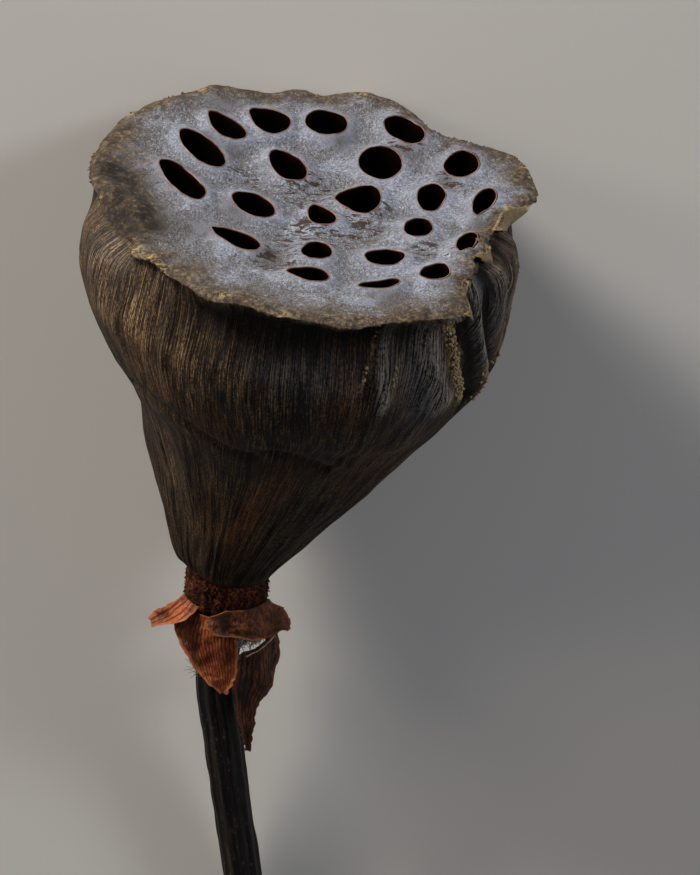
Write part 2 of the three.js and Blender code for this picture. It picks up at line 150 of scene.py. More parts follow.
# Seed pits: [x, y, long, short, turn of the long side, how pointed its far end is].
PITS = [
    [-21.5, 32, 11.5, 6.5, 135, 0.3],
    [-12, 36.5, 10.5, 8, 148, 0.4],
    [1.5, 38, 10, 9.5, 170, 0],
    [19.5, 37, 12, 7.5, 132, 0],
    [-26, 21, 16, 8, 126, 0],
    [-29.5, 6, 17, 7, 126, 0.1],
    [-6.5, 20, 13.5, 7.5, 118, 0.2],
    [14.5, 24, 13.5, 10, 100, 0],
    [33, 24, 10.5, 8, 84, 0.1],
    [-13, 0.5, 11.5, 8, 139, 0],
    [2, -0.5, 9, 6, 115, 0.35],
    [10, 8, 10.5, 12, 175, 0.45],
    [26.5, 10.5, 12, 6.5, 86, 0],
    [38, 7, 13, 4.6, 257, 0.4],
    [24, -3.5, 9, 6.5, 83, 0],
    [34.5, -12, 10.5, 4.4, 260, 0.2],
    [-16, -16.5, 13, 6.5, 145, 0.35],
    [2, -18, 9.5, 7, 88, 0.1],
    [17, -18, 9, 8, 13, 0],
    [0.5, -30, 9.5, 6.5, 166, 0.35],
    [16, -32, 9.5, 5, 198, 0.3],
    [28, -26, 9, 6.5, 77, 0],
]
# The inside of a pit from above its mouth down: [depth, size as a share of the mouth].
PIT_PROFILE = [[-3, 1], [0.4, 1], [1.5, 1.03], [4, 1.08], [7, 1.1], [10, 1.02], [12, 0.88], [13.4, 0.65]]
PIT_FLOOR = 0.7  # how far the middle of a pit's floor lies below the last of them

# Fine shape of the seed disc: a mound round each mouth, a curled border, felted cork between.
MOUND_HEIGHT = 1.5
MOUND_WIDTH = 2.8
BORDER = 3.6
LIP_THICKNESS = 0.27
# Cracks across the disc, each a path [x, y].
CRACKS = [
    [[-14, 38.8], [-11.6, 35.4], [-9.5, 30.9]],
    [[-17.2, -13.8], [-16, -18], [-14.8, -23.1]],
    [[-24.1, -0.6], [-22.3, 2.1], [-19.9, 5.8]],
    [[16.8, 13.4], [19.7, 15], [24.6, 18.8]],
    [[26.4, 30.7], [28.9, 32.7]],
    [[-25.6, -20.8], [-22.7, -14.9], [-20.1, -10.8]],
    [[-38, 9.6], [-33, 3.6], [-28.2, -0.1]],
]
CRACK_WIDTH = 1.1
# Where the bloom has flaked off the disc in brown specks, and where it is stained: [x, y, radius].
FLAKED = [
    [3, 8, 7], [-2, 13, 5], [8, -1, 7], [-1, -10, 6], [12, 3, 6], [4, -8, 6], [-16, 14, 4],
    [20, 32, 4], [27, -14, 5], [-7, -22, 5], [30, 18, 4],
]
STAINED = [
    [-22.8, -12.7, 5], [-16.8, -2.3, 4], [21, 31, 4], [-7.9, -20.8, 4], [-25.6, 26.5, 3],
    [-18.5, 23.2, 3], [-22.8, 42.9, 5], [-36, -12, 6], [-41, 4.3, 5], [5.2, 33.1, 4], [29.9, 19, 3],
    [19, -38, 4], [38, -2.6, 4], [-39, -5, 6],
]
# The border is weathered to brown crust, on the left almost black: [x, y, radius].
CRUSTED = [
    [-46, 12, 8], [-42, -4, 9], [-38, -16, 6], [-46, 26, 6], [-50, 20, 7], [-36, 42, 6], [-24, -34, 6],
    [-12, -44, 6], [-32, -27, 4], [44, 32, 6], [47, 22, 5], [2, 52, 6], [-16, 52, 7], [22, 50, 6],
    [3, -47, 6], [22, -44, 5], [34, -36, 5],
]
# Painted highlights, straw-coloured, on the rim's crests: [x, y, radius].
CREST_HIGHLIGHTS = [
    [-37.5, -26.5, 2.4], [-34, -29.8, 2], [-31, -32.8, 1.8], [44.5, 6, 2.4], [48.5, 26, 2.4], [-51, 20, 2],
    [-44, 34, 2], [-28, 47, 1.8], [-17, -44, 1.6], [9, 53, 1.6], [38.5, 39, 2], [-4, -50, 1.5],
]
BLACKENED = [[-42, -7, 5], [-37.8, -6.6, 4], [-41, 3.5, 5], [-35, -15, 4.5], [-46, 7, 4], [-40.5, -13, 5]]
BED_MARKS = {
    "flaked": FLAKED, "stained": STAINED, "crusted": CRUSTED, "black": BLACKENED, "crest_highlight": CREST_HIGHLIGHTS,
}

# Flaps of the rim that hang outwards: first turn, last turn, drop, how far they stand out.
FLAPS = [[352, 371, 3.6, 1.7], [333, 342.5, 2.4, 1.5], [310.5, 321, 3.2, 1.5]]
FLAP_ROWS = 12
FLAP_STEPS = 30
# Relief of the wall's skin: its cords, its finer ribs and its crumple
CORD_RELIEF = 0.34
RIB_RELIEF = 0.2
CRUMPLE_RELIEF = 0.5
# Tints of the wall, each a list of soft patches [turn, height, half width, half height, strength].
RIND_TINTS = {
    "dust": [
        [268, 79, 9, 6, 0.5], [281, 75, 9, 5, 0.5], [308, 76, 6, 11, 0.8], [313, 66, 6, 7, 0.7],
        [326, 84, 4, 9, 0.9], [335, 76, 4, 11, 0.8], [345, 80, 5, 10, 0.7], [330, 91, 6, 4, 0.8],
        [298, 80, 5, 9, 0.4], [5, 82, 12, 10, 0.5], [205, 88, 8, 6, 0.3],
    ],
    # tan: partly the wall's own lighter brown, partly painted highlight where the lamps fall on its left
    # and right
    "tan": [
        [205, 88, 14, 8, 0.9], [215, 80, 14, 10, 0.9], [228, 72, 12, 8, 0.6], [214, 38, 9, 15, 0.9],
        [222, 20, 9, 8, 0.5], [252, 69, 10, 6, 0.7], [185, 85, 10, 12, 0.6], [350, 88, 8, 6, 0.5],
        [240, 40, 6, 10, 0.4], [344, 76, 9, 13, 0.8], [0, 80, 10, 12, 0.8], [160, 84, 14, 12, 0.4],
        [20, 84, 12, 10, 0.4], [100, 80, 30, 14, 0.3],
    ],
    "rust": [
        [276, 41, 7, 9, 0.8], [268, 29, 7, 9, 0.9], [260, 19, 7, 8, 0.7], [300, 45, 14, 5, 0.5],
        [240, 24, 6, 8, 0.4], [243, 58, 9, 7, 0.35], [288, 70, 5, 9, 0.5], [303, 70, 4, 8, 0.4],
        [225, 68, 8, 8, 0.3], [120, 40, 20, 14, 0.3], [30, 40, 20, 12, 0.3],
    ],
    # painted shade: darker under the rim's overhang and below the belly
    "painted_shade": [
        [280, 86, 32, 7, 1], [262, 88, 14, 5, 0.8], [290, 62, 26, 5, 0.5], [255, 45, 12, 6, 0.5],
        [318, 84, 3, 9, 0.8], [285, 46, 22, 5, 0.7], [232, 57, 10, 3, 0.4],
    ],
}
# Corky scabs on the folds of the wall: a path [turn, height], its width and its strength.
SCABS = [
    ([[317, 88], [318.5, 82], [321, 76], [325, 70], [327, 64]], 2.3, 1.0),
    ([[294.4, 87], [293.5, 82], [292.5, 78], [290.8, 73]], 0.5, 0.55),
    ([[301.5, 81], [300.8, 77], [300.3, 73]], 0.4, 0.5),
    ([[343, 86], [345, 77], [347, 70], [346, 64]], 0.8, 0.5),
    ([[335, 70], [338, 64], [341, 58]], 0.9, 0.5),
    ([[352, 90], [356, 82], [357, 74]], 1.0, 0.5),
]
SCAB_CRUMBS = 520
RIM_CRUMBS = 260
CRUMB_SIZE = 0.36
CRUMB_CLEAR = 1.5  # no crumb is closer to the floor than this
# The furrow under the belly, sharper than the rings give it: depth, width and path [turn, height].
FURROWS = [
    (0.9, 1.6, [[207, 55], [220, 57.5], [233, 57], [241, 54], [250, 50.5], [262, 49]]),
    (-0.7, 1.3, [[262, 55.5], [272, 55], [281, 52.5], [293, 48.5], [307, 44.5]]),
    (0.8, 1.4, [[266, 52.5], [280, 49.5], [292, 45.5]]),
]

# The collar of stamen scars.
COLLAR_RADIUS = 9.5
COLLAR_HEIGHT = 9.5
COLLAR_SCARS = 18
SCAR_RELIEF = 0.2
COLLAR_PROFILE = [[0, -0.5], [0.8, 0], [4.5, 0.15], [7.6, -0.1], [COLLAR_HEIGHT, -0.9]]
COLLAR_FOOT = [[0, 0.4], [90, -1.4], [180, 0], [270, 2]]
NOTCH = (257, 3.2)
SEAT_GAP = 0.4
COLLAR_SIDES = 300
COLLAR_ROWS = 56
STUB_ROWS = 9
STUBS_ROUND = 54
STUB_LENGTH = 0.6 * MM
STUB_WIDTH = 0.2 * MM

# The stalk.
STALK_PATH = [
    [-11, -11.2, -9.7], [-11.2, -12.9, -19], [-11.6, -15, -28], [-8.4, -18, -43],
    [-5, -21, -59], [-1, -25, -76], [3.5, -29, -94],
]
STALK_TOP_RADIUS = 4.9
STALK_END_RADIUS = 4.1
STALK_SIDES = 140
STALK_ROWS = 380
FLUTES = 10
FLUTE_RELIEF = 0.2
CANALS = 5
CANAL_RADIUS = 0.7
CANAL_CIRCLE = 2.2
CANAL_DEPTH = 6
CANAL_SIDES = 16
PITH_CELL = 0.35
PITH_RADIUS = STALK_END_RADIUS - 0.9
# Fibres frayed from its skin: how many, over which rows and which angles round it
FRAYED = 26
FRAYED_AT = (64, 76)
FRAYED_TURNS = (130, 215)
FRAYED_THICKNESS = 0.14 * MM

# What is left of the tepals: how much each waves and how torn it is, its veins and how much they show, how
# far down a window opens it, its flare (how far it stands out from the collar's axis at a height), and its
# rows [height, first turn, last turn] from the root down.
TEPAL_REACH = 12
TEPAL_THICKNESS = 0.36
VEIN_RELIEF = 0.16
TEPAL_ROOT = 3
RIPPLES_ROUND = 9
RIPPLE_SLANT = 14
TEPALS = [
    {
        "name": "tepal_front",
        "coat": "red",
        "wave": 0.35,
        "torn": 1,
        "veins": (17, 0.6),
        "window": 0,
        "flare": [[-5.5, 10.3], [-9, 10.5], [-12, 11.4], [-26, 13.8]],
        "rows": [
            [-6.4, 216, 276], [-7.8, 208, 284], [-9, 202, 287], [-11, 202, 288.5], [-12.6, 207, 288.5],
            [-14.5, 224, 288.5], [-17.2, 240, 288.5], [-19.6, 251, 287], [-21.4, 257, 286],
            [-22.6, 267, 283], [-24.5, 275, 279],
        ],
    },
    {
        "name": "tepal_long",
        "coat": "dark",
        "wave": 0.3,
        "torn": 1,
        "veins": (9, 0.6),
        "window": 8.2,
        "flare": [[-6.5, 10.6], [-9, 10.7], [-16, 11.6], [-45, 15]],
        "rows": [
            [-6.5, 292, 352], [-9, 290, 357], [-13.3, 288, 363], [-16, 286, 365], [-19, 286, 365],
            [-22, 286.5, 363], [-24.3, 287.5, 348], [-26.4, 289, 325], [-29.2, 291, 315.5],
            [-32, 293, 311], [-36.3, 297.5, 308], [-41.5, 301.5, 304.5],
        ],
    },
    {
        "name": "tepal_left",
        "coat": "red",
        "wave": 0.7,
        "torn": 1,
        "veins": (5, 0.6),
        "window": 0,
        "flare": [[-4.8, 10.4], [-9, 13.2], [-14, 16]],
        "rows": [
            [-4.6, 203, 236], [-6.2, 200, 234], [-7.6, 198, 230], [-9, 195, 222], [-11.4, 190, 208],
            [-13.1, 192, 199],
        ],
    },
    {
        "name": "tepal_right",
        "coat": "brown",
        "wave": 0.4,
        "torn": 2.2,
        "veins": (26, 0.4),
        "window": 0,
        "flare": [[-2.8, 10.6], [-7, 12.2], [-16, 15.6]],
        "rows": [
            [-3.4, 276, 336], [-4.6, 258, 340], [-6, 250, 347], [-7, 252, 351], [-8, 262, 355],
            [-8.8, 274, 356], [-9.8, 310, 356], [-10.8, 336, 357], [-12.7, 349, 355],
        ],
    },
]
# The window between the right and the long tepal: its turns, the pale torn strip [turn, height, width] on
# its lower edge, and the mould that fills it.
WINDOW = (288, 338)
STRIP_REACH = 13
STRIP_LEAN = 0.6
STRIP_THICKNESS = 0.22
STRIP = [[298, -15.4, 0.15], [306, -15.1, 0.5], [316, -14.7, 0.9], [326, -14.3, 1.2], [336, -14, 1.3]]
MOULD_THREADS = 90
MOULD_REACH = (9.6, 10.9)
MOULD_HEIGHTS = (-14.6, -9.6)
MOULD_THICKNESS = 0.2 * MM
SHEET_ROWS = 90
SHEET_STEPS = 84

# The camera: 0.9 m from the disc and 29 degrees above its plane, in pixels of a 700 x 875 picture.
PICTURE = (700, 875)
DISTANCE = 900
LOOK_DOWN = math.radians(29)
ROLL = math.radians(5.7)
FOCAL_PIXELS = 4023
DISC_PIXEL = (312, 203)
SENSOR = 36

# The studio: the way to each square lamp from the pod, in the pod's own frame, then its distance and size
# in metres, its watts, its colour and the spread of its beam in degrees
FLOOR_HALF = 3.0
SKY = 0.14
LAMPS = [
    ("key", (-0.7, 0.05, 0.71), 2.0, 0.55, 3.9, "#fffaf2", 50),
    ("left", (-0.88, -0.3, 0.36), 2.2, 0.6, 7.5, "#ffe8cf", 180),
    ("right", (0.83, -0.25, 0.58), 2.2, 0.5, 15, "#f2f3fa", 180),
]


def lay(points):
    """Points of the pod's own frame, in millimetres, where the pod lies, in metres."""
    laid = (np.asarray(points, float) @ LAY.T + LAID_AT) * MM
    laid[..., 2] = np.maximum(laid[..., 2], 0)
    return laid


def polar(centre, radius, turns, height):
    angle = np.radians(turns)
    x = centre[0] + radius * np.cos(angle)
    y = centre[1] + radius * np.sin(angle)
    return np.stack([x, y, np.broadcast_to(height, x.shape)], axis=-1)


def around(keys, turns, column):
    """Value of a column of keys at turns round a closed ring, on a smooth curve through them."""
    keys = np.asarray(keys, float)
    at = np.concatenate([keys[-2:, 0] - 360, keys[:, 0], keys[:3, 0] + 360])
    value = np.concatenate([keys[-2:, column], keys[:, column], keys[:3, column]])
    slope = np.zeros(len(at))
    slope[1:-1] = (value[2:] - value[:-2]) / (at[2:] - at[:-2])
    wanted = np.asarray(turns, float) % 360
    cell = np.searchsorted(at, wanted, side="right") - 1
    span = at[cell + 1] - at[cell]
    return hermite(
        value[cell], value[cell + 1], slope[cell] * span, slope[cell + 1] * span, (wanted - at[cell]) / span
    )


def hermite(start, end, slope_in, slope_out, t):
    return (
        (2 * t**3 - 3 * t**2 + 1) * start
        + (t**3 - 2 * t**2 + t) * slope_in
        + (3 * t**2 - 2 * t**3) * end
        + (t**3 - t**2) * slope_out
    )


def through(keys, at):
    """Points at key positions on smooth centripetal curves through keys [curve, key, xyz]."""
    first = 2 * keys[:, :1] - keys[:, 1:2]
    last = 2 * keys[:, -1:] - keys[:, -2:-1]
    spots = np.concatenate([first, keys, last], axis=1)
    cell = np.minimum(np.asarray(at).astype(int), keys.shape[1] - 2)
    before, start, end, after = (spots[:, cell + k] for k in range(4))

    def pace(a, b):
        return np.sqrt(np.maximum(np.linalg.norm(b - a, axis=-1, keepdims=True), 1e-4))

    d0, d1, d2 = pace(before, start), pace(start, end), pace(end, after)
    slope_in = ((start - before) / d0 - (end - before) / (d0 + d1) + (end - start) / d1) * d1
    slope_out = ((end - start) / d1 - (after - start) / (d1 + d2) + (after - end) / d2) * d1
    return hermite(start, end, slope_in, slope_out, (np.asarray(at) - cell)[None, :, None])


def along(keys, position, column=1):
    """Value on a list of straight stretches [position, value, ...], held level past both ends."""
    keys = sorted(keys)
    return np.interp(position, [key[0] for key in keys], [key[column] for key in keys])


def bumps(spots, size, octaves=2, seed=0):
    """Smooth random heights, about -1 to 1, whose largest bumps are about size across."""
    spots = np.asarray(spots, float)
    flat = (spots.reshape(-1, spots.shape[-1]) / size + 37.3 * seed).tolist()
    made = [noise.fractal(spot, 1.0, 2.0, octaves) for spot in flat]
    return np.array(made).reshape(spots.shape[:-1])


def near_path(spots, path):
    """Distance of spots from a path of straight stretches."""
    path = np.asarray(path, float)
    nearest = np.full(spots.shape[:-1], np.inf)
    for start, end in zip(path[:-1], path[1:]):
        run = end - start
        share = np.clip(((spots - start) @ run) / (run @ run), 0, 1)
        nearest = np.minimum(nearest, np.linalg.norm(spots - start - share[..., None] * run, axis=-1))
    return nearest


def closed_round(rows, columns):
    """Quads of a grid whose every row is a closed ring, facing out where rows climb and turns grow."""
    row, column = np.meshgrid(np.arange(rows - 1), np.arange(columns), indexing="ij")
    after = (column + 1) % columns
    corners = [row * columns + column, row * columns + after]
    corners += [(row + 1) * columns + after, (row + 1) * columns + column]
    return np.stack(corners, axis=-1).reshape(-1, 4).tolist()


def with_ends(rings):
    """Points and faces of a stack of equal rings, closed at both ends by fans to their middles."""
    rows, columns = rings.shape[:2]
    points = np.concatenate([rings.reshape(-1, 3), rings[0].mean(0)[None], rings[-1].mean(0)[None]])
    faces = closed_round(rows, columns)
    first, last, top = rows * columns, rows * columns + 1, (rows - 1) * columns
    for side in range(columns):
        after = (side + 1) % columns
        faces.append([first, after, side])
        faces.append([last, top + side, top + after])
    return points, faces


def joined(bodies):
    """Several bodies, each its points and faces, as one."""
    points, faces, start = [], [], 0
    for body, body_faces in bodies:
        points.append(body)
        faces += [[start + corner for corner in face] for face in body_faces]
        start += len(body)
    return np.concatenate(points), faces


def sheet(outer, inner):
    """Points and faces of a thin closed sheet between two grids of points, whose rows climb."""
    rows, steps = outer.shape[:2]
    columns = 2 * steps
    faces = closed_round(rows, columns)
    top = (rows - 1) * columns
    for step in range(steps - 1):
        back = columns - 1 - step
        faces.append([step, back, back - 1, step + 1])
        faces.append([top + step, top + step + 1, top + back - 1, top + back])
    return np.concatenate([outer, inner[:, ::-1]], axis=1).reshape(-1, 3), faces


def in_space(spots):
    """Flat spots [.., xy] as points at height 0."""
    return np.concatenate([spots, np.zeros_like(spots[..., :1])], axis=-1)


def outward(rings):
    """Unit normals of a grid of closed rings."""
    normal = np.cross(np.roll(rings, -1, axis=1) - np.roll(rings, 1, axis=1), np.gradient(rings, axis=0))
    return normal / np.maximum(np.linalg.norm(normal, axis=-1, keepdims=True), 1e-9)


def new_mesh(name, points, faces, edges=()):
    mesh = bpy.data.meshes.new(name)
    mesh.from_pydata(points.tolist(), list(edges), faces)
    return mesh


def new_object(data):
    made = bpy.data.objects.new(data.name, data)
    bpy.context.scene.collection.objects.link(made)
    return made


def note(mesh, name, values):
    """Keeps a value or a vector for each point, for the materials to read."""
    values = np.asarray(values, np.float32)
    kind, field = ("FLOAT", "value") if values.ndim == 1 else ("FLOAT_VECTOR", "vector")
    mesh.attributes.new(name, kind, "POINT").data.foreach_set(field, values.ravel())


def settle(piece, node):
    """Makes a finished mesh piece part of the object, in place of a CAD node."""
    piece.data.shade_smooth()
    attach(piece, "root")
    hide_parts(node)
    return piece


def worked(piece):
    """The plain mesh that a piece's modifiers make, with the piece removed."""
    evaluated = piece.evaluated_get(bpy.context.evaluated_depsgraph_get())
    mesh = bpy.data.meshes.new_from_object(evaluated)
    name = piece.data.name
    discard(piece)
    mesh.name = name
    mesh.materials.clear()
    return mesh


def discard(piece):
    source = piece.data
    bpy.data.objects.remove(piece)
    bpy.data.meshes.remove(source)


def cut_out(solid, hollows):
    """The mesh of a solid with the hollows cut from it; faces cut by a hollow get material 1."""
    for _ in range(2):
        hollows.data.materials.append(None)
        solid.data.materials.append(None)
    hollows.data.polygons.foreach_set("material_index", np.ones(len(hollows.data.polygons), np.int32))
    cut = solid.modifiers.new("Cut", "BOOLEAN")
    cut.operation = "DIFFERENCE"
    cut.solver = "MANIFOLD"
    cut.object = hollows
    evaluated = solid.evaluated_get(bpy.context.evaluated_depsgraph_get())
    sides = np.zeros(len(evaluated.data.polygons), np.int32)
    evaluated.data.polygons.foreach_get("material_index", sides)
    mesh = worked(solid)
    mesh.polygons.foreach_set("material_index", sides)
    discard(hollows)
    return mesh


# The pod's shape


def rim_edge(turns):
    """Radius and height of the rim's crumbled edge."""
    spots = polar((0, 0), REACH, turns, 0)
    chips = bumps(spots, 5.5, 3, seed=1)
    radius = around(RIM, turns, 1) + 0.5 * chips + 0.22 * bumps(spots, 1.3, 2, seed=2)
    height = around(RIM, turns, 2) + 0.35 * bumps(spots, 4, 2, seed=3) - 0.8 * shoulder(turns)
    return radius, height


def shoulder(turns):
    middle, half = SHOULDER
    return np.exp(-(((turns - middle) / half) ** 4))


def mouth_gap(spots):
    """Roughly how far spots [.., xy] lie outside the nearest pit's mouth; negative inside it."""
    nearest = np.full(spots.shape[:-1], np.inf)
    for x, y, long, short, turn, point in PITS:
        angle = math.radians(turn)
        ahead = (spots[..., 0] - x) * math.cos(angle) + (spots[..., 1] - y) * math.sin(angle)
        aside = (spots[..., 1] - y) * math.cos(angle) - (spots[..., 0] - x) * math.sin(angle)
        reach = np.maximum(np.hypot(ahead, aside), 1e-6)
        narrow = 1 - point * np.clip(2 * ahead / long, -1, 1)
        share = np.hypot(2 * ahead / long, 2 * aside / (short * narrow))
        nearest = np.minimum(nearest, reach * (1 - 1 / np.maximum(share, 1e-6)))
    return nearest


def bed_height(spots):
    """Height of the seed disc over spots [.., xy]."""
    turns = np.degrees(np.arctan2(spots[..., 1], spots[..., 0])) % 360
    radius, height = rim_edge(turns)
    reach = np.linalg.norm(spots, axis=-1)
    inside = np.maximum(radius - reach, 0)
    dish = DISC_HEIGHT - DISH_DEPTH + DISH_DEPTH * (reach / DISH_RADIUS) ** 2
    border = np.exp(-((inside / BORDER) ** 1.6))
    mound = MOUND_HEIGHT * np.exp(-((np.maximum(mouth_gap(spots), 0) / MOUND_WIDTH) ** 2))
    flat = in_space(spots)
    waves = 0.6 * bumps(flat, 12, 2, seed=4) + 0.2 * bumps(flat, 2.8, 3, seed=5)
    arc = polar((0, 0), REACH, turns, 0.5 * inside)
    pucker = 0.4 * bumps(arc, 4.5, 3, seed=6) * np.exp(-((inside - 3.5) / 5) ** 2)
    fade = 1 - np.exp(-inside / 0.8)
    crust = 0.5 * blots(spots, CRUSTED) * bumps(flat, 4, 3, seed=7)
    plain = dish + (height - dish) * border - EDGE_FALL * (1 - fade)
    return plain + (mound + waves + pucker + crust) * fade


def blots(spots, list_of_blots):
    """Strength from 0 to 1 of soft round blots [x, y, radius] at spots [.., xy]."""
    total = np.zeros(spots.shape[:-1])
    for x, y, radius in list_of_blots:
        total += np.exp(-(((spots[..., 0] - x) ** 2 + (spots[..., 1] - y) ** 2) / radius**2))
    return np.minimum(total, 1)


def fold_depth(turns, height, reach):
    """How far the folds pull the wall in."""
    depth = np.zeros_like(height)
    for fold, width, path in FOLDS:
        middle = along([(h, t) for t, h in path], height)
        apart = np.radians((turns - middle + 540) % 360 - 180) * reach
        past = np.maximum(np.maximum(height - path[0][1], path[-1][1] - height), 0)
        depth += fold * np.exp(-((apart / width) ** 2) - (past / FOLD_FADE) ** 2)
    return depth


def wall_map(turns, height):
    """The wall unrolled: [arc, height] in millimetres, split at the side that the pod lies on."""
    shifted = np.where(turns < 100, turns + 360, turns)
    return np.stack([np.radians(shifted) * REACH, height], axis=-1)


def wall_path(path):
    path = np.array(path, float)
    return wall_map(path[:, 0], path[:, 1])


def patches(turns, height, list_of_patches):
    """Strength from 0 to 1 of soft patches [turn, height, half width, half height, strength]."""
    total = np.zeros_like(height)
    for turn, middle, wide, tall, strength in list_of_patches:
        arc = np.radians((turns - turn + 540) % 360 - 180) * REACH
        total += strength * np.exp(-((arc / wide) ** 2) - ((height - middle) / tall) ** 2)
    return np.minimum(total, 1)


def rind(stubs, crumb):
    """The pod's wall, from the foot to the edge of the rim, with a hollow that holds the seed bed."""
    turns = np.arange(COLUMNS) * 360 / COLUMNS
    radius, height = rim_edge(turns)
    keys = [polar(centre, around(ring, turns, 1), turns, around(ring, turns, 2)) for centre, ring in RINGS]
    rolled = shoulder(turns)
    keys.append(polar((0, 0), radius - RIM_INSET + 2.2 * rolled, turns, height - RIM_FALL + 0.3 * rolled))
    keys.append(polar((0, 0), radius, turns, height - EDGE_FALL))
    keys = np.stack(keys, axis=1)
    steps = [key + step / count for key, count in enumerate(RIND_ROWS) for step in range(count)]
    at = np.array(steps + [len(RIND_ROWS)], float)
    rings = through(keys, at).transpose(1, 0, 2)
    turn = np.broadcast_to(turns, rings.shape[:2])
    out = polar((0, 0), 1, turn, 0)
    folded = np.where(at < PLAIN_RINGS, 0, np.clip(len(RINGS) + 1 - at, 0, 1))[:, None]
    reach = np.linalg.norm(rings[..., :2], axis=-1)
    fold = fold_depth(turn, rings[..., 2], reach) * folded
    rings = rings - out * fold[..., None]

    climb = np.concatenate([[0], np.cumsum(np.linalg.norm(np.diff(rings, axis=0), axis=-1).mean(1))])
    strand = polar((0, 0), REACH, turn, climb[:, None] * np.ones(COLUMNS))
    strand = strand + 1.2 * bumps(strand, 26, 2, seed=8)[..., None] * polar((0, 0), 1, turn + 90, 0)
    cords = bumps(strand * (1, 1, 0.14), 5.5, 2, seed=9)
    ribs = bumps(strand * (1, 1, 0.08), 2.4, 2, seed=10)
    crumple = bumps(strand, 15, 3, seed=11)
    spread = wall_map(turn, rings[..., 2])
    unrolled = in_space(spread)
    furrow = np.zeros_like(reach)
    for depth, width, path in FURROWS:
        furrow += depth * np.exp(-((near_path(spread, wall_path(path)) / width) ** 2))
    scab = np.zeros_like(reach)
    torn = 0.9 * bumps(unrolled, 2.2, 2, seed=12)
    for path, width, strength in SCABS:
        ragged = near_path(spread, wall_path(path)) + torn
        scab = np.maximum(scab, strength * np.exp(-(np.maximum(ragged, 0) / width) ** 2))
    relief = CORD_RELIEF * cords + RIB_RELIEF * ribs + CRUMPLE_RELIEF * crumple - furrow
    relief += scab * (0.2 + 0.6 * bumps(unrolled, 1.6, 3, seed=13))
    fade = np.clip((len(RIND_ROWS) - 0.25 - at) / 0.8, 0, 1) * np.clip(at / 0.7, 0, 1)
    rings = rings + outward(rings) * (relief * fade[:, None])[..., None]

    scattered("scab_crumbs", rings, outward(rings), scab**2, SCAB_CRUMBS, stubs, crumb)
    neck, belly = rings[sum(RIND_ROWS[:8])], rings[sum(RIND_ROWS[:7])]
    tuck = polar((0, 0), radius - 1.6, turns, height - 1.2)
    inner = [tuck, neck - 0.8 * out[0], belly - out[0] * 1.5]
    points, faces = with_ends(np.concatenate([rings, np.stack(inner)]))
    piece = new_object(new_mesh("pod_wall", lay(points), faces))

    spare = len(points) - rings.shape[0] * COLUMNS
    tones = {name: patches(turn, rings[..., 2], spots) for name, spots in RIND_TINTS.items()}
    tones |= {"scab": scab, "ridge": np.clip(0.5 * cords + 0.7 * ribs, -1, 1)}
    tones["fold"] = fold / 2
    tones["lip"] = np.clip((at[:, None] - 9.1 + 0.5 * shoulder(turn)) / 0.7, 0, 1)
    tones["black"] = shoulder(turn) * np.clip((at[:, None] - 8.4) / 0.8, 0, 1)
    for name, values in tones.items():
        note(piece.data, name, np.append(values.ravel(), np.zeros(spare)))
    note(piece.data, "strand", np.concatenate([strand.reshape(-1, 3), np.zeros((spare, 3))]))
    piece.data.materials.append(rind_material())
    return settle(piece, "receptacle")


def rim_flaps():
    """Small flaps of skin that hang from the torn rim on the right."""
    flaps = []
    v, u = np.meshgrid(np.linspace(0, 1, FLAP_ROWS), np.linspace(0, 1, FLAP_STEPS), indexing="ij")
    for first, last, drop, out in FLAPS:
        turns = first + (last - first) * (u + 0.15 * v * (0.5 - u))
        radius, height = rim_edge(turns)
        long = np.sin(np.pi * u) ** 0.6 * (0.75 + 0.5 * u)
        spots = polar((0, 0), REACH, turns, 4 * v)
        stand = out * np.sin(0.6 * np.pi * v) + 0.35 * bumps(spots, 2.5, 2, seed=16) * v
        fall = drop * long * v + 0.3 * bumps(spots, 1.5, 2, seed=17) * v
        outer = polar((0, 0), radius - 0.3 + stand, turns, height - 0.1 - fall)
        inner = polar((0, 0), radius - 0.75 + stand, turns, height - 0.3 - fall)
        flaps.append(sheet(outer[::-1], inner[::-1]))
    points, faces = joined(flaps)
    piece = new_object(new_mesh("rim_flaps", lay(points), faces))
    note(piece.data, "flat", points)
    piece.data.materials.append(flap_material())
    return settle(piece, "receptacle")


def scattered(name, spots, facing, weight, count, stubs, crumb):
    """Crumbs of cork on a surface, thickest where the weight is greatest."""
    draw = np.random.default_rng(count)
    chance = weight.ravel() / weight.sum()
    chosen = draw.choice(chance.size, count, p=chance)
    shift = draw.uniform(-0.25, 0.1, (count, 3))
    base = point_mesh(name, spots.reshape(-1, 3)[chosen] + shift, facing.reshape(-1, 3)[chosen])
    sizes = {"Length": CRUMB_SIZE * MM, "Width": 0.7 * CRUMB_SIZE * MM, "Vary": 0.75, "Seed": count}
    return settle(grown(stubs, base, crumb, sizes), "receptacle")


def rim_crumbs(stubs, crumb):
    """Corky crumbs along the torn edge of the rim."""
    turns = np.arange(0, 360, 0.25)
    radius, height = rim_edge(turns)
    spots = polar((0, 0), radius, turns, height - 0.4)
    weight = np.clip(bumps(polar((0, 0), REACH, turns, 0), 7, 2, seed=15) + 0.3, 0.02, 1)
    weight = weight * (1 - shoulder(turns)) * (lay(spots)[:, 2] > CRUMB_CLEAR * MM)
    scattered("rim_crumbs", spots, polar((0, 0), 1, turns, 0.6), weight, RIM_CRUMBS, stubs, crumb)


def mouth_ring(pit, share):
    """The outline of a pit's mouth as offsets [side, xy] from its middle."""
    _, _, long, short, turn, point = pit
    angle = np.arange(PIT_SIDES) * 2 * np.pi / PIT_SIDES
    ahead = share * long * np.cos(angle) / 2
    aside = share * short * np.sin(angle) / 2 * (1 - point * np.cos(angle))
    wobble = 1 + 0.018 * np.sin(3 * angle + turn) + 0.01 * np.sin(5 * angle + 2 * turn)
    lie = math.radians(turn)
    x = ahead * math.cos(lie) - aside * math.sin(lie)
    y = ahead * math.sin(lie) + aside * math.cos(lie)
    return np.stack([x * wobble, y * wobble], axis=-1)


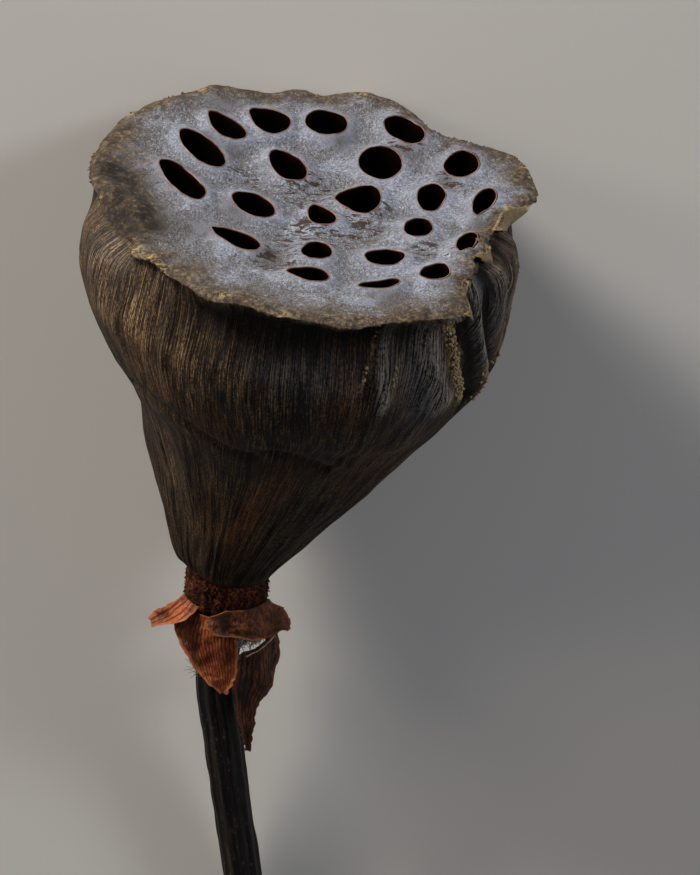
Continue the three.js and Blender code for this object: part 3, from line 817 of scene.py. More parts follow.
def pit_spots(pit, depth, share=1.0):
    """Points round a pit at a depth below the plain dish; pits lean towards the foot."""
    x, y = pit[:2]
    mouth = DISC_HEIGHT - DISH_DEPTH + DISH_DEPTH * (x * x + y * y) / DISH_RADIUS**2
    lean = PIT_LEAN * (np.array(FOOT) - (x, y)) / mouth
    spots = mouth_ring(pit, share) + (x, y) + lean * depth
    return np.concatenate([spots, np.full((PIT_SIDES, 1), mouth - depth)], axis=-1)


def pit_hollows():
    """The hollows of all the pits, as one mesh of separate bodies."""
    hollows = []
    for pit in PITS:
        rings = np.stack([pit_spots(pit, depth, share) for depth, share in reversed(PIT_PROFILE)])
        points, faces = with_ends(rings)
        points[-2, 2] -= PIT_FLOOR
        hollows.append((points, faces))
    points, faces = joined(hollows)
    return new_object(new_mesh("pit_hollows", lay(points), faces))


def seed_bed():
    """The seed disc and the corky bed under it, with the pits cut into it."""
    turns = np.arange(COLUMNS) * 360 / COLUMNS
    radius, height = rim_edge(turns)
    shares = 1 - np.linspace(0, 1, BED_STEPS + 1)[:-1] ** 1.15
    rows = []
    out = polar((0, 0), 1, turns, 0)
    for (centre, ring), inset in zip(RINGS[-2:], (2.6, 2)):
        rows.append(polar(centre, around(ring, turns, 1), turns, around(ring, turns, 2)) - inset * out)
    rows.append(polar((0, 0), radius - 1.6, turns, height - 0.9))
    for share in shares:
        spots = polar((0, 0), radius * share, turns, 0)[:, :2]
        rows.append(np.concatenate([spots, bed_height(spots)[:, None]], axis=-1))
    points, faces = with_ends(np.stack(rows))
    bed = new_object(new_mesh("seed_disc", lay(points), faces))
    mesh = cut_out(bed, pit_hollows())
    mark_bed(mesh)
    piece = new_object(mesh)
    settle(piece, "receptacle")
    mesh.set_sharp_from_angle(angle=SHARP_ANGLE)
    return piece


def own_frame(mesh):
    """A mesh's points, back in the pod's own frame in millimetres."""
    points = np.zeros(len(mesh.vertices) * 3, np.float32)
    mesh.vertices.foreach_get("co", points)
    return (points.reshape(-1, 3) / MM - LAID_AT) @ LAY


def mark_bed(mesh):
    """Notes what the disc's materials read, and gives the insides of the pits their own."""
    points = own_frame(mesh)
    spots = points[:, :2]
    turns = np.degrees(np.arctan2(spots[:, 1], spots[:, 0])) % 360
    inside = rim_edge(turns)[0] - np.linalg.norm(spots, axis=-1)
    depth = bed_height(spots) - points[:, 2]
    gap = mouth_gap(spots)
    crack = np.full(len(points), np.inf)
    ragged = spots + 0.5 * bumps(points, 2.5, 2, seed=14)[:, None]
    for path in CRACKS:
        crack = np.minimum(crack, near_path(ragged, path))
    note(mesh, "flat", points)
    note(mesh, "inside", inside)
    note(mesh, "depth", depth)
    note(mesh, "halo", np.exp(-np.maximum(gap, 0) / 2.6))
    note(mesh, "crack", np.exp(-((crack / CRACK_WIDTH) ** 2)))
    for name, places in BED_MARKS.items():
        note(mesh, name, blots(spots, places))
    note(mesh, "hoop", polar((0, 0), REACH, turns, 6 * inside))
    mesh.materials.append(bed_material())
    mesh.materials.append(pit_material())


# Trees that grow small repeated things


def add(tree, kind, inputs=None, stops=None, **settings):
    """Adds a node: its own settings, values or links for its sockets, and the colours of a ramp."""
    made = tree.nodes.new(kind)
    for name, value in settings.items():
        setattr(made, name, value)
    for socket, value in (inputs or {}).items():
        if isinstance(value, bpy.types.NodeSocket):
            tree.links.new(value, made.inputs[socket])
        else:
            made.inputs[socket].default_value = value
    if stops:
        ramp = made.color_ramp
        while len(ramp.elements) < len(stops):
            ramp.elements.new(0.5)
        for element, (position, shade) in zip(ramp.elements, stops):
            element.position = position
            element.color = paint(shade)
    return made


def new_tree(name, sizes):
    """A geometry tree with named inputs: a base, a material, and sizes."""
    tree = bpy.data.node_groups.new(name, "GeometryNodeTree")
    tree.interface.new_socket("Geometry", in_out="INPUT", socket_type="NodeSocketGeometry")
    tree.interface.new_socket("Geometry", in_out="OUTPUT", socket_type="NodeSocketGeometry")
    tree.interface.new_socket("Material", in_out="INPUT", socket_type="NodeSocketMaterial")
    for size in sizes:
        kind = "NodeSocketInt" if size == "Seed" else "NodeSocketFloat"
        tree.interface.new_socket(size, in_out="INPUT", socket_type=kind)
    return tree, add(tree, "NodeGroupInput").outputs


def thread_tree():
    """Round threads along the edges of the base, thicker and thinner at random."""
    tree, given = new_tree("Threads", ["Thickness", "Vary", "Lumps", "Seed"])
    lines = add(tree, "GeometryNodeMeshToCurve", {"Mesh": given["Geometry"]})
    lump = add(tree, "ShaderNodeTexNoise", {
        "W": given["Seed"], "Scale": given["Lumps"],
    }, noise_dimensions="4D")
    swing = add(tree, "ShaderNodeMath", {0: lump.outputs["Fac"], 1: 0.5}, operation="SUBTRACT")
    swing = add(tree, "ShaderNodeMath", {
        0: swing.outputs[0], 1: given["Vary"], 2: 1.0,
    }, operation="MULTIPLY_ADD")
    half = add(tree, "ShaderNodeMath", {0: given["Thickness"], 1: 0.5}, operation="MULTIPLY")
    radius = add(tree, "ShaderNodeMath", {0: swing.outputs[0], 1: half.outputs[0]}, operation="MULTIPLY")
    profile = add(tree, "GeometryNodeCurvePrimitiveCircle", {"Resolution": 8, "Radius": 1.0})
    tube = add(tree, "GeometryNodeCurveToMesh", {
        "Curve": lines.outputs[0], "Profile Curve": profile.outputs[0], "Scale": radius.outputs[0],
        "Fill Caps": True,
    })
    return finished(tree, tube.outputs[0], given["Material"])


def stub_tree():
    """A small tapered stub at every point of the base, standing the way that the point's facing says."""
    tree, given = new_tree("Stubs", ["Length", "Width", "Vary", "Seed"])
    stub = add(tree, "GeometryNodeMeshCone", {
        "Vertices": 6, "Side Segments": 2, "Radius Top": 0.5, "Radius Bottom": 1.0, "Depth": 1.0,
    })
    sunk = add(tree, "GeometryNodeTransform", {"Geometry": stub.outputs[0], "Translation": (0, 0, -0.4)})
    facing = add(tree, "GeometryNodeInputNamedAttribute", {"Name": "facing"}, data_type="FLOAT_VECTOR")
    lean = add(tree, "FunctionNodeRandomValue", {
        "Min": (-0.35, -0.35, -0.35), "Max": (0.35, 0.35, 0.35), "Seed": given["Seed"],
    }, data_type="FLOAT_VECTOR")
    way = add(tree, "ShaderNodeVectorMath", {0: facing.outputs[0], 1: lean.outputs[0]}, operation="ADD")
    turned = add(tree, "FunctionNodeAlignRotationToVector", {"Vector": way.outputs[0]}, axis="Z")
    low = add(tree, "ShaderNodeMath", {0: 1.0, 1: given["Vary"]}, operation="SUBTRACT")
    high = add(tree, "ShaderNodeMath", {0: 1.0, 1: given["Vary"]}, operation="ADD")
    chance = add(tree, "FunctionNodeRandomValue", {
        2: low.outputs[0], 3: high.outputs[0], "Seed": given["Seed"],
    }, data_type="FLOAT")
    shape = add(tree, "ShaderNodeCombineXYZ", {
        "X": given["Width"], "Y": given["Width"], "Z": given["Length"],
    })
    size = add(tree, "ShaderNodeVectorMath", {
        0: shape.outputs[0], "Scale": chance.outputs[1],
    }, operation="SCALE")
    placed = add(tree, "GeometryNodeInstanceOnPoints", {
        "Points": given["Geometry"], "Instance": sunk.outputs[0], "Rotation": turned.outputs[0],
        "Scale": size.outputs[0],
    })
    return finished(tree, placed.outputs[0], given["Material"])


def finished(tree, geometry, material):
    """Ends a tree: plain geometry with its material."""
    real = add(tree, "GeometryNodeRealizeInstances", {"Geometry": geometry})
    coated = add(tree, "GeometryNodeSetMaterial", {"Geometry": real.outputs[0], "Material": material})
    add(tree, "NodeGroupOutput", {0: coated.outputs[0]})
    return tree


def grown(tree, base, material, sizes):
    """The plain mesh piece that a tree grows on a base mesh."""
    piece = new_object(base)
    grow = piece.modifiers.new("Grow", "NODES")
    grow.node_group = tree
    values = sizes | {"Material": material}
    for socket in tree.interface.items_tree:
        if socket.in_out == "INPUT" and socket.name in values:
            grow[socket.identifier] = values[socket.name]
    mesh = worked(piece)
    mesh.materials.append(material)
    mesh.polygons.foreach_set("material_index", np.zeros(len(mesh.polygons), np.int32))
    return new_object(mesh)


def line_mesh(name, lines, closed=False):
    """A mesh of bare edges along lines of points in the pod's own frame."""
    points, edges = np.concatenate(lines), []
    start = 0
    for line in lines:
        last = len(line) if closed else len(line) - 1
        edges += [(start + i, start + (i + 1) % len(line)) for i in range(last)]
        start += len(line)
    return new_mesh(name, lay(points), [], edges)


def point_mesh(name, points, facing):
    """A mesh of bare points, each with the way that it faces."""
    mesh = new_mesh(name, lay(points), [])
    note(mesh, "facing", np.asarray(facing) @ LAY.T)
    return mesh


def pit_lips(threads):
    """The thin torn lip of skin round each mouth."""
    lines = []
    for pit in PITS:
        spots = pit_spots(pit, -MOUND_HEIGHT / 2)
        spots[:, 2] = bed_height(spots[:, :2]) + 0.02
        lines.append(spots)
    base = line_mesh("pit_lips", lines, closed=True)
    sizes = {"Thickness": LIP_THICKNESS * MM, "Vary": 0.9, "Lumps": 260.0, "Seed": 3}
    return settle(grown(threads, base, lip_material(), sizes), "receptacle")


# The collar, the tepals and the stalk


def collar_spots(turns, drop):
    """Points of the plain collar at a drop below its top, which follows the foot of the pod."""
    swell = along(COLLAR_PROFILE, drop) + SCAR_RELIEF * np.cos(np.radians(turns) * COLLAR_SCARS)
    top = around(RINGS[0][1], turns, 2) - SEAT_GAP
    bottom = around(COLLAR_FOOT, turns, 1) - COLLAR_HEIGHT
    height = top + (bottom - top) * drop / COLLAR_HEIGHT
    return polar(FOOT, COLLAR_RADIUS + swell, turns, height)


def stamen_ring(stubs):
    """The felted collar of stamen scars under the foot, and the stubs that stand on it."""
    turns = np.arange(COLLAR_SIDES) * 360 / COLLAR_SIDES
    rings = np.stack([collar_spots(turns, drop) for drop in np.linspace(COLLAR_HEIGHT, 0, COLLAR_ROWS + 1)])
    felt = 0.3 * bumps(rings * (1, 1, 0.6), 2.4, 3, seed=20) + 0.14 * bumps(rings, 0.8, 2, seed=21)
    low = np.linspace(1, 0, COLLAR_ROWS + 1)[:, None]
    layers = 0.45 * np.abs(bumps(rings * (0.25, 0.25, 1.2), 1.9, 2, seed=22))
    layers = layers * np.clip(3 * low - 1.6, 0, 1)
    aside = np.radians((turns - NOTCH[0] + 180) % 360 - 180) * COLLAR_RADIUS
    notch = 0.8 * np.exp(-((aside[None] / 0.7) ** 2) - ((low * COLLAR_HEIGHT - NOTCH[1]) / 2) ** 2)
    rings = rings + outward(rings) * (felt + layers - notch)[..., None]
    points, faces = with_ends(rings)
    collar = new_object(new_mesh("collar", lay(points), faces))
    bark = collar_material()
    collar.data.materials.append(bark)
    settle(collar, "stamen_ring")

    draw = np.random.default_rng(7)
    spots, facing = [], []
    for row in range(STUB_ROWS):
        drop = 0.7 + row * (COLLAR_HEIGHT - 1.6) / (STUB_ROWS - 1)
        places = np.arange(STUBS_ROUND) + 0.5 * (row % 2) + draw.uniform(-0.3, 0.3, STUBS_ROUND)
        turns = places * 360 / STUBS_ROUND
        drops = drop + draw.uniform(-0.35, 0.35, STUBS_ROUND)
        spots.append(collar_spots(turns, drops))
        facing.append(polar((0, 0), 1, turns, -0.9))
    base = point_mesh("stamen_stubs", np.concatenate(spots), np.concatenate(facing))
    sizes = {"Length": STUB_LENGTH, "Width": STUB_WIDTH, "Vary": 0.5, "Seed": 11}
    settle(grown(stubs, base, bark, sizes), "stamen_ring")


def tepal(leaf, seed, material):
    """A dried, papery tepal: veined, waved, with torn edges that curl outwards."""
    rows, torn = leaf["rows"], leaf["torn"]
    v, u = np.meshgrid(np.linspace(0, 1, SHEET_ROWS), np.linspace(0, 1, SHEET_STEPS), indexing="ij")
    height = rows[0][0] + (rows[-1][0] - rows[0][0]) * v
    near = [height + shift for shift in (-0.9, -0.45, 0, 0.45, 0.9)]
    first, last = (sum(along(rows, spot, side) for spot in near) / len(near) for side in (1, 2))
    chew = bumps(np.stack([height, 0 * height, np.round(u) + seed], axis=-1), 1.4, 3, seed=seed)
    turn = first + (last - first) * u + 2.2 * chew * np.abs(2 * u - 1) ** 6
    tear = bumps(polar(FOOT, TEPAL_REACH, turn, 0), 2, 3, seed=seed + 1)
    height = height + 0.8 * torn * tear * v**6
    opened = np.clip((WINDOW[1] - turn) / 5, 0, 1)
    height = height - leaf["window"] * opened * (1 - v) ** 3
    ripple = leaf["wave"] * (1 + np.sin(np.radians(turn * RIPPLES_ROUND + height * RIPPLE_SLANT)))
    rise = np.clip((rows[0][0] - height) / TEPAL_ROOT, 0, 1)
    spots = polar(FOOT, TEPAL_REACH, turn, height)
    crumple = 0.5 * bumps(spots, 4.5, 2, seed=seed + 2)
    crumple = crumple + 0.2 * torn * bumps(spots, 1.7, 2, seed=seed + 3)
    edge = np.minimum(u, 1 - u) * np.radians(last - first) * TEPAL_REACH
    curl = 0.9 * np.exp(-edge / 0.8) * rise
    veins, strength = leaf["veins"]
    vein_at = veins * (0.55 * u + 0.45 * (turn - turn.mean()) / 60)
    vein_at = vein_at + 0.5 * bumps(spots * (1, 1, 0.3), 4, 2, seed=seed + 4)
    vein = 1 - strength * np.exp(-((np.sin(np.pi * vein_at) / 0.42) ** 2))
    reach = along(leaf["flare"], height) + (ripple + crumple + curl) * rise + VEIN_RELIEF * vein
    outer, inner = (polar(FOOT, reach + side * TEPAL_THICKNESS / 2, turn, height) for side in (1, -1))
    points, faces = sheet(outer[::-1], inner[::-1])
    piece = new_object(new_mesh("dried_" + leaf["name"], lay(points), faces))
    for name, values in {"vein": vein, "edge": edge, "across": u}.items():
        note(piece.data, name, np.concatenate([values, values[:, ::-1]], axis=1)[::-1].ravel())
    note(piece.data, "own", points)
    piece.data.materials.append(material)
    return settle(piece, leaf["name"])


def torn_strip(material):
    """A pale torn strip of the long tepal, turned out along the lower edge of its window."""
    turns = np.linspace(STRIP[0][0], STRIP[-1][0], 40)
    low = along(STRIP, turns) + 0.25 * bumps(polar(FOOT, TEPAL_REACH, turns, 0), 1.5, 2, seed=60)
    wide = along(STRIP, turns, 2) + 0.2 * bumps(polar(FOOT, TEPAL_REACH, turns, 5), 1.2, 2, seed=61)
    wide = np.maximum(wide, 0.12)
    reach = STRIP_REACH + 0.3 * bumps(polar(FOOT, TEPAL_REACH, turns, 9), 3, 2, seed=62)
    outer, inner = (
        np.stack([
            polar(FOOT, reach - depth + STRIP_LEAN * share, turns, low + wide * share)
            for share in (0, 0.5, 1)
        ])
        for depth in (0, STRIP_THICKNESS)
    )
    points, faces = sheet(outer, inner)
    piece = new_object(new_mesh("torn_strip", lay(points), faces))
    piece.data.materials.append(material)
    return settle(piece, "tepal_long")


def mould(threads, material):
    """A web of mould threads in the window."""
    draw = np.random.default_rng(21)
    lines = []
    for _ in range(MOULD_THREADS):
        turn = draw.uniform(WINDOW[0] + 4, WINDOW[1] - 4)
        low = draw.uniform(*MOULD_HEIGHTS)
        steps = np.linspace(-1, 1, 9)[:, None]
        lean = draw.uniform(-1, 1, 2)
        run = draw.uniform(0.8, 2.4) * lean / max(np.linalg.norm(lean), 0.2)
        bend = draw.uniform(-0.7, 0.7, 2) * (1 - steps**2)
        path = steps * run + bend
        reach = draw.uniform(*MOULD_REACH)
        turns = turn + np.degrees(path[:, 0] / reach)
        lines.append(polar(FOOT, reach + 0.2 * steps[:, 0], turns, low + path[:, 1]))
    base = line_mesh("mould_threads", lines)
    sizes = {"Thickness": MOULD_THICKNESS, "Vary": 1.2, "Lumps": 900.0, "Seed": 5}
    settle(grown(threads, base, material, sizes), "tepal_long")


def frayed_fibres(threads, middle, side, up, material):
    """Pale fibres frayed from the skin of the stalk, high on its left."""
    draw = np.random.default_rng(31)
    lines = []
    for _ in range(FRAYED):
        at = int(draw.uniform(*FRAYED_AT))
        angle = math.radians(draw.uniform(*FRAYED_TURNS))
        out = math.cos(angle) * side[at] + math.sin(angle) * up[at]
        root = middle[at] + (STALK_TOP_RADIUS - 0.2) * out
        sweep = np.array([draw.uniform(-1, 1), draw.uniform(-1, 1), draw.uniform(-0.6, 1)])
        steps = np.linspace(0, 1, 10)[:, None]
        straight = steps * draw.uniform(0.6, 2) * out
        lines.append(root + straight + steps**2 * draw.uniform(0.8, 2.4) * sweep)
    base = line_mesh("frayed_fibres", lines)
    sizes = {"Thickness": FRAYED_THICKNESS, "Vary": 0.8, "Lumps": 300.0, "Seed": 6}
    settle(grown(threads, base, material, sizes), "stalk")


def stalk():
    """The fluted, wrinkled stalk, cut across at its end to show its air canals."""
    keys = np.array([STALK_PATH], float)
    fine = through(keys, np.linspace(0, len(STALK_PATH) - 1, 800))[0]
    length = np.concatenate([[0], np.cumsum(np.linalg.norm(np.diff(fine, axis=0), axis=-1))])
    wanted = np.linspace(0, length[-1], STALK_ROWS + 1)
    middle = np.stack([np.interp(wanted, length, fine[:, axis]) for axis in range(3)], axis=-1)
    ahead = np.gradient(middle, axis=0)
    ahead /= np.linalg.norm(ahead, axis=-1, keepdims=True)
    up = np.cross(ahead, (1, 0, 0))
    up /= np.linalg.norm(up, axis=-1, keepdims=True)
    side = np.cross(up, ahead)
    angle = np.arange(STALK_SIDES) * 2 * np.pi / STALK_SIDES
    share = (wanted / length[-1])[:, None]
    grain = np.stack(np.broadcast_arrays(
        4.5 * np.cos(angle)[None], 4.5 * np.sin(angle)[None], 0.07 * wanted[:, None]
    ), axis=-1)
    ridges = 0.22 * bumps(grain, 1.5, 3, seed=30) + 0.3 * bumps(grain, 4, 2, seed=31)
    pinch = 0.16 * bumps(grain * (1, 1, 8), 3.5, 2, seed=32)
    flutes = FLUTE_RELIEF * np.cos(FLUTES * angle)[None]
    radius = STALK_TOP_RADIUS + (STALK_END_RADIUS - STALK_TOP_RADIUS) * share + flutes + ridges + pinch
    out = np.cos(angle)[None, :, None] * side[:, None] + np.sin(angle)[None, :, None] * up[:, None]
    rings = middle[:, None] + radius[..., None] * out
    points, faces = with_ends(rings)
    rod = new_object(new_mesh("stalk_skin", lay(points), faces))
    mesh = cut_out(rod, canal_bores(middle[-1], ahead[-1], side[-1], up[-1]))
    own = own_frame(mesh)
    nearest = np.array([np.linalg.norm(middle - spot, axis=-1).argmin() for spot in own])
    off = own - middle[nearest]
    turn = np.arctan2((off * up[nearest]).sum(-1), (off * side[nearest]).sum(-1))
    core = np.linalg.norm(off, axis=-1)
    strand = np.stack([4.5 * np.cos(turn), 4.5 * np.sin(turn), wanted[nearest]], axis=-1)
    note(mesh, "strand", strand)
    past_end = ((own - middle[-1]) @ ahead[-1]) > -0.05
    mesh.materials.append(stalk_material())
    mesh.materials.append(pith_material())
    deep = core < PITH_RADIUS
    corners = [list(face.vertices) for face in mesh.polygons]
    pith = [past_end[face].all() or deep[face].all() for face in corners]
    mesh.polygons.foreach_set("material_index", np.array(pith, np.int32))
    piece = new_object(mesh)
    settle(piece, "stalk")
    mesh.set_sharp_from_angle(angle=SHARP_ANGLE)
    return middle, side, up


def canal_bores(end, ahead, side, up):
    """The stalk's air canals, in a circle round its middle, as one mesh of separate rods."""
    angle = np.arange(CANAL_SIDES) * 2 * np.pi / CANAL_SIDES
    ring = CANAL_RADIUS * (np.cos(angle)[:, None] * side + np.sin(angle)[:, None] * up)
    bores = []
    for canal in range(CANALS):
        turn = canal * 2 * math.pi / CANALS
        centre = end + CANAL_CIRCLE * (math.cos(turn) * side + math.sin(turn) * up)
        bores.append(with_ends(np.stack([centre + ring + ahead * z for z in (-CANAL_DEPTH, 2)])))
    points, faces = joined(bores)
    return new_object(new_mesh("canal_bores", lay(points), faces))


# Materials


def paint(code):
    """Linear colour of an sRGB hex value."""
    parts = [int(code[i : i + 2], 16) / 255 for i in (1, 3, 5)]
    return (*[p / 12.92 if p <= 0.04045 else ((p + 0.055) / 1.055) ** 2.4 for p in parts], 1)


def blank(name):
    material = bpy.data.materials.new(name)
    material.use_nodes = True
    return material, material.node_tree


def pattern(tree, spots, sizes, detail=3.0, rough=0.55, warp=0.0):
    """Noise whose marks have the given sizes, in millimetres along each axis of the spots.

    The spots are a link, or the name of the spots noted on the piece.
    """
    if isinstance(spots, str):
        spots = add(tree, "ShaderNodeAttribute", attribute_name=spots).outputs["Vector"]
    scaled = add(tree, "ShaderNodeVectorMath", {
        0: spots, 1: [1 / size for size in sizes],
    }, operation="MULTIPLY")
    return add(tree, "ShaderNodeTexNoise", {
        "Vector": scaled.outputs[0], "Scale": 1.0, "Detail": detail, "Roughness": rough, "Distortion": warp,
    }).outputs["Fac"]


def shown(tree, *shares, most=1.0):
    """How far a finish shows: the shares multiplied, times most.

    A share is a link or the name of a value noted on the piece. In a tuple with two limits it is 0 at the
    first limit, 1 at the second and smooth between.
    """
    total = most
    for share in shares:
        value, *limits = share if isinstance(share, tuple) else (share,)
        if isinstance(value, str):
            value = add(tree, "ShaderNodeAttribute", attribute_name=value).outputs["Fac"]
        if limits:
            value = add(tree, "ShaderNodeMapRange", {
                "Value": value, "From Min": limits[0], "From Max": limits[1],
            }, interpolation_type="SMOOTHSTEP").outputs["Result"]
        total = add(tree, "ShaderNodeMath", {0: value, 1: total}, operation="MULTIPLY").outputs[0]
    return total


def layer(tree, under, over, *shares, most=1.0):
    """One finish over another, as far as the shares let it show; each is a link or a hex colour."""
    under, over = [paint(shade) if isinstance(shade, str) else shade for shade in (under, over)]
    share = shown(tree, *shares, most=most)
    return add(tree, "ShaderNodeMix", {0: share, 6: under, 7: over}, data_type="RGBA").outputs[2]


def on_piece(tree):
    """Where a spot lies on its piece, in millimetres."""
    spots = add(tree, "ShaderNodeTexCoord").outputs["Object"]
    return add(tree, "ShaderNodeVectorMath", {0: spots, 1: [1 / MM] * 3}, operation="MULTIPLY").outputs[0]


def coat(tree, colour, rough, shine=0.5, relief=None, strength=1.0, depth=0.0):
    """Gives a skin its colour, how rough and how shiny it is, and its relief, depth in millimetres."""
    skin = tree.nodes["Principled BSDF"]
    tree.links.new(colour, skin.inputs["Base Color"])
    skin.inputs["Roughness"].default_value = rough
    skin.inputs["Specular IOR Level"].default_value = shine
    if relief is not None:
        bump = add(tree, "ShaderNodeBump", {
            "Height": relief, "Strength": strength, "Distance": depth * MM,
        })
        tree.links.new(bump.outputs[0], skin.inputs["Normal"])
    return skin


def rind_material():
    """Cork-like skin of a lotus receptacle dried on the plant: matt, ribbed by its fibres, dusty on folds.

    A pixel of the picture is 0.22 mm here, so the finest fibres are drawn 0.27 mm wide, coarser than real.
    Its colour carries painted highlights on ridges and raised folds, and painted shade in fold hollows and
    under the rim.
    """
    material, tree = blank("sun_dried_lotus_rind")
    fibres = pattern(tree, "strand", (0.27, 0.27, 9), 3, 0.6, 0.25)
    beads = pattern(tree, "strand", (0.45, 0.45, 0.8), 3, 0.65)
    broad = pattern(tree, "strand", (6, 6, 13), 4, 0.6)
    beading = add(tree, "ShaderNodeMapRange", {
        "Value": beads, "From Min": 0.3, "From Max": 0.7, "To Min": 0.78, "To Max": 1.22,
    }).outputs[0]
    weave = shown(tree, fibres, beading)
    colour = add(tree, "ShaderNodeValToRGB", {0: weave}, stops=[
        (0.38, "#050302"), (0.47, "#150d08"), (0.56, "#372514"), (0.68, "#8a6a3e"),
    ]).outputs[0]
    tan = add(tree, "ShaderNodeValToRGB", {0: weave}, stops=[
        (0.36, "#130c08"), (0.46, "#3a2a1f"), (0.56, "#6c5541"), (0.70, "#b1966f"),
    ]).outputs[0]
    # Lighter brown patches: partly the wall's own colour, partly painted highlight
    colour = layer(tree, colour, tan, "tan")
    colour = layer(tree, colour, "#0a0705", (broad, 0.58, 0.36), most=0.65)
    # Painted highlight: lighter tan on the raised ridges of the relief
    colour = layer(tree, colour, "#7d6b52", ("ridge", 0.05, 0.8), (weave, 0.42, 0.6), most=0.45)
    colour = layer(tree, colour, "#8a5526", "rust", (weave, 0.42, 0.62), most=0.8)
    colour = layer(tree, colour, "#73767b", "dust", (weave, 0.34, 0.66), most=0.7)
    # Painted highlight on the raised folds, then painted shade in their hollows
    colour = layer(tree, colour, "#a2988a", ("fold", -0.1, -0.5), (weave, 0.42, 0.62), most=0.95)
    colour = layer(tree, colour, "#070504", ("fold", 0.15, 0.8), most=0.9)
    # Painted shade under the rim's overhang and below the belly
    colour = layer(tree, colour, "#0b0806", "painted_shade", most=0.7)
    crumbs = pattern(tree, "strand", (0.8, 0.8, 1.0), 3, 0.6)
    corky = layer(tree, "#8f7347", "#e0c693", (crumbs, 0.55, 0.7))
    colour = layer(tree, colour, corky, "scab", (crumbs, 0.42, 0.54))
    edge = layer(tree, "#2a1e17", "#8d7a5f", (crumbs, 0.38, 0.66))
    edge = layer(tree, edge, "#1d1410", "black", most=0.8)
    colour = layer(tree, colour, edge, "lip")
    relief = add(tree, "ShaderNodeMath", {0: fibres, 1: beads}, operation="ADD").outputs[0]
    coat(tree, colour, 0.66, 0.22, relief, 1.0, 0.2)
    return material


def crust_shade(tree):
    """Weathered crust of the rim: brown, with tan crumbs. Gives its colour and its grain."""
    grain = pattern(tree, "flat", (1.1, 1.1, 1.1), 5, 0.7, 0.3)
    return add(tree, "ShaderNodeValToRGB", {0: grain}, stops=[
        (0.34, "#1c140f"), (0.47, "#46382b"), (0.58, "#77654c"), (0.72, "#b09c74"),
    ]).outputs[0], grain


def flap_material():
    """Thin dry skin of the rim's flaps: ochre, and a little shiny."""
    material, tree = blank("ochre_rim_skin")
    crust, grain = crust_shade(tree)
    coat(tree, layer(tree, crust, "#a98f60", most=0.45), 0.5, 0.5, grain, 0.6, 0.2)
    return material


def bed_material():
    """Seed face of a lotus receptacle: felted cork under a blue-grey bloom of wax, worn off in flakes."""
    material, tree = blank("waxy_lotus_seed_face")
    felt = pattern(tree, "flat", (0.55, 0.55, 0.55), 5, 0.7, 0.6)
    strokes = pattern(tree, "flat", (0.4, 1.5, 1), 3, 0.65, 1.5)
    clouds = pattern(tree, "flat", (8, 8, 8), 4, 0.6, 0.5)
    colour = add(tree, "ShaderNodeValToRGB", {0: felt}, stops=[
        (0.32, "#383b42"), (0.43, "#6b707c"), (0.54, "#979daa"), (0.68, "#d3d6da"),
    ]).outputs[0]
    colour = layer(tree, colour, "#9aa2b8", "halo", most=0.5)
    worn = add(tree, "ShaderNodeMath", {
        0: shown(tree, (clouds, 0.36, 0.52)), 1: shown(tree, "halo", most=0.9),
    }, operation="SUBTRACT", use_clamp=True).outputs[0]
    colour = layer(tree, colour, "#4d4135", worn, (strokes, 0.42, 0.54), most=0.85)
    colour = layer(tree, colour, "#463b30", "stained", (felt, 0.36, 0.6), most=0.8)
    flecks = pattern(tree, "flat", (3.4, 1.5, 2), 4, 0.7, 0.8)
    colour = layer(tree, colour, "#3a2a1d", ("flaked", 0.15, 0.5), (flecks, 0.52, 0.55), most=0.95)
    colour = layer(tree, colour, "#3c2d22", (flecks, 0.64, 0.67), most=0.8)
    # The border: pleats round the rim, then crust, dirt, black and painted highlights on the crests over it
    crust, crust_grain = crust_shade(tree)
    hoops = pattern(tree, "hoop", (5, 5, 3), 3, 0.6, 0.6)
    colour = layer(tree, colour, "#5a4c3c", (hoops, 0.5, 0.66), ("inside", 11, 3), most=0.5)
    colour = layer(tree, colour, crust, "crusted", (crust_grain, 0.3, 0.5), most=0.9)
    ragged = add(tree, "ShaderNodeMath", {
        0: pattern(tree, "flat", (4, 4, 4), 4, 0.6), 1: 14.0, 2: shown(tree, "inside"),
    }, operation="MULTIPLY_ADD").outputs[0]
    colour = layer(tree, colour, crust, (ragged, 12.5, 8.0), most=0.9)
    broad = pattern(tree, "flat", (3.2, 3.2, 3.2), 3, 0.6, 0.4)
    colour = layer(tree, colour, "#2e221a", ("inside", 9, 4), (broad, 0.5, 0.62), most=0.5)
    char = layer(tree, "#1a120e", "#4d3d30", (crust_grain, 0.5, 0.68))
    colour = layer(tree, colour, char, "black", (broad, 0.7, 0.45), most=0.92)
    # Painted highlights, straw-coloured, on the rim's crests
    colour = layer(tree, colour, "#c8ab6c", ("crest_highlight", 0.3, 0.9), (crust_grain, 0.46, 0.6), most=0.85)
    # Hairline cracks, along the drawn cracks and here and there besides
    veined = pattern(tree, "flat", (2.4, 2.4, 2.4), 3, 0.6, 0.8)
    hair = add(tree, "ShaderNodeMath", {0: veined, 1: 0.5, 2: 0.012}, operation="COMPARE").outputs[0]
    hairs = add(tree, "ShaderNodeMath", {
        0: shown(tree, "crack"), 1: shown(tree, (clouds, 0.45, 0.55), most=0.45),
    }, operation="ADD").outputs[0]
    colour = layer(tree, colour, "#1c140f", hairs, hair, most=0.85)
    relief = add(tree, "ShaderNodeMath", {0: felt, 1: strokes}, operation="ADD").outputs[0]
    coat(tree, colour, 0.62, 0.25, relief, 1.0, 0.22)
    return material


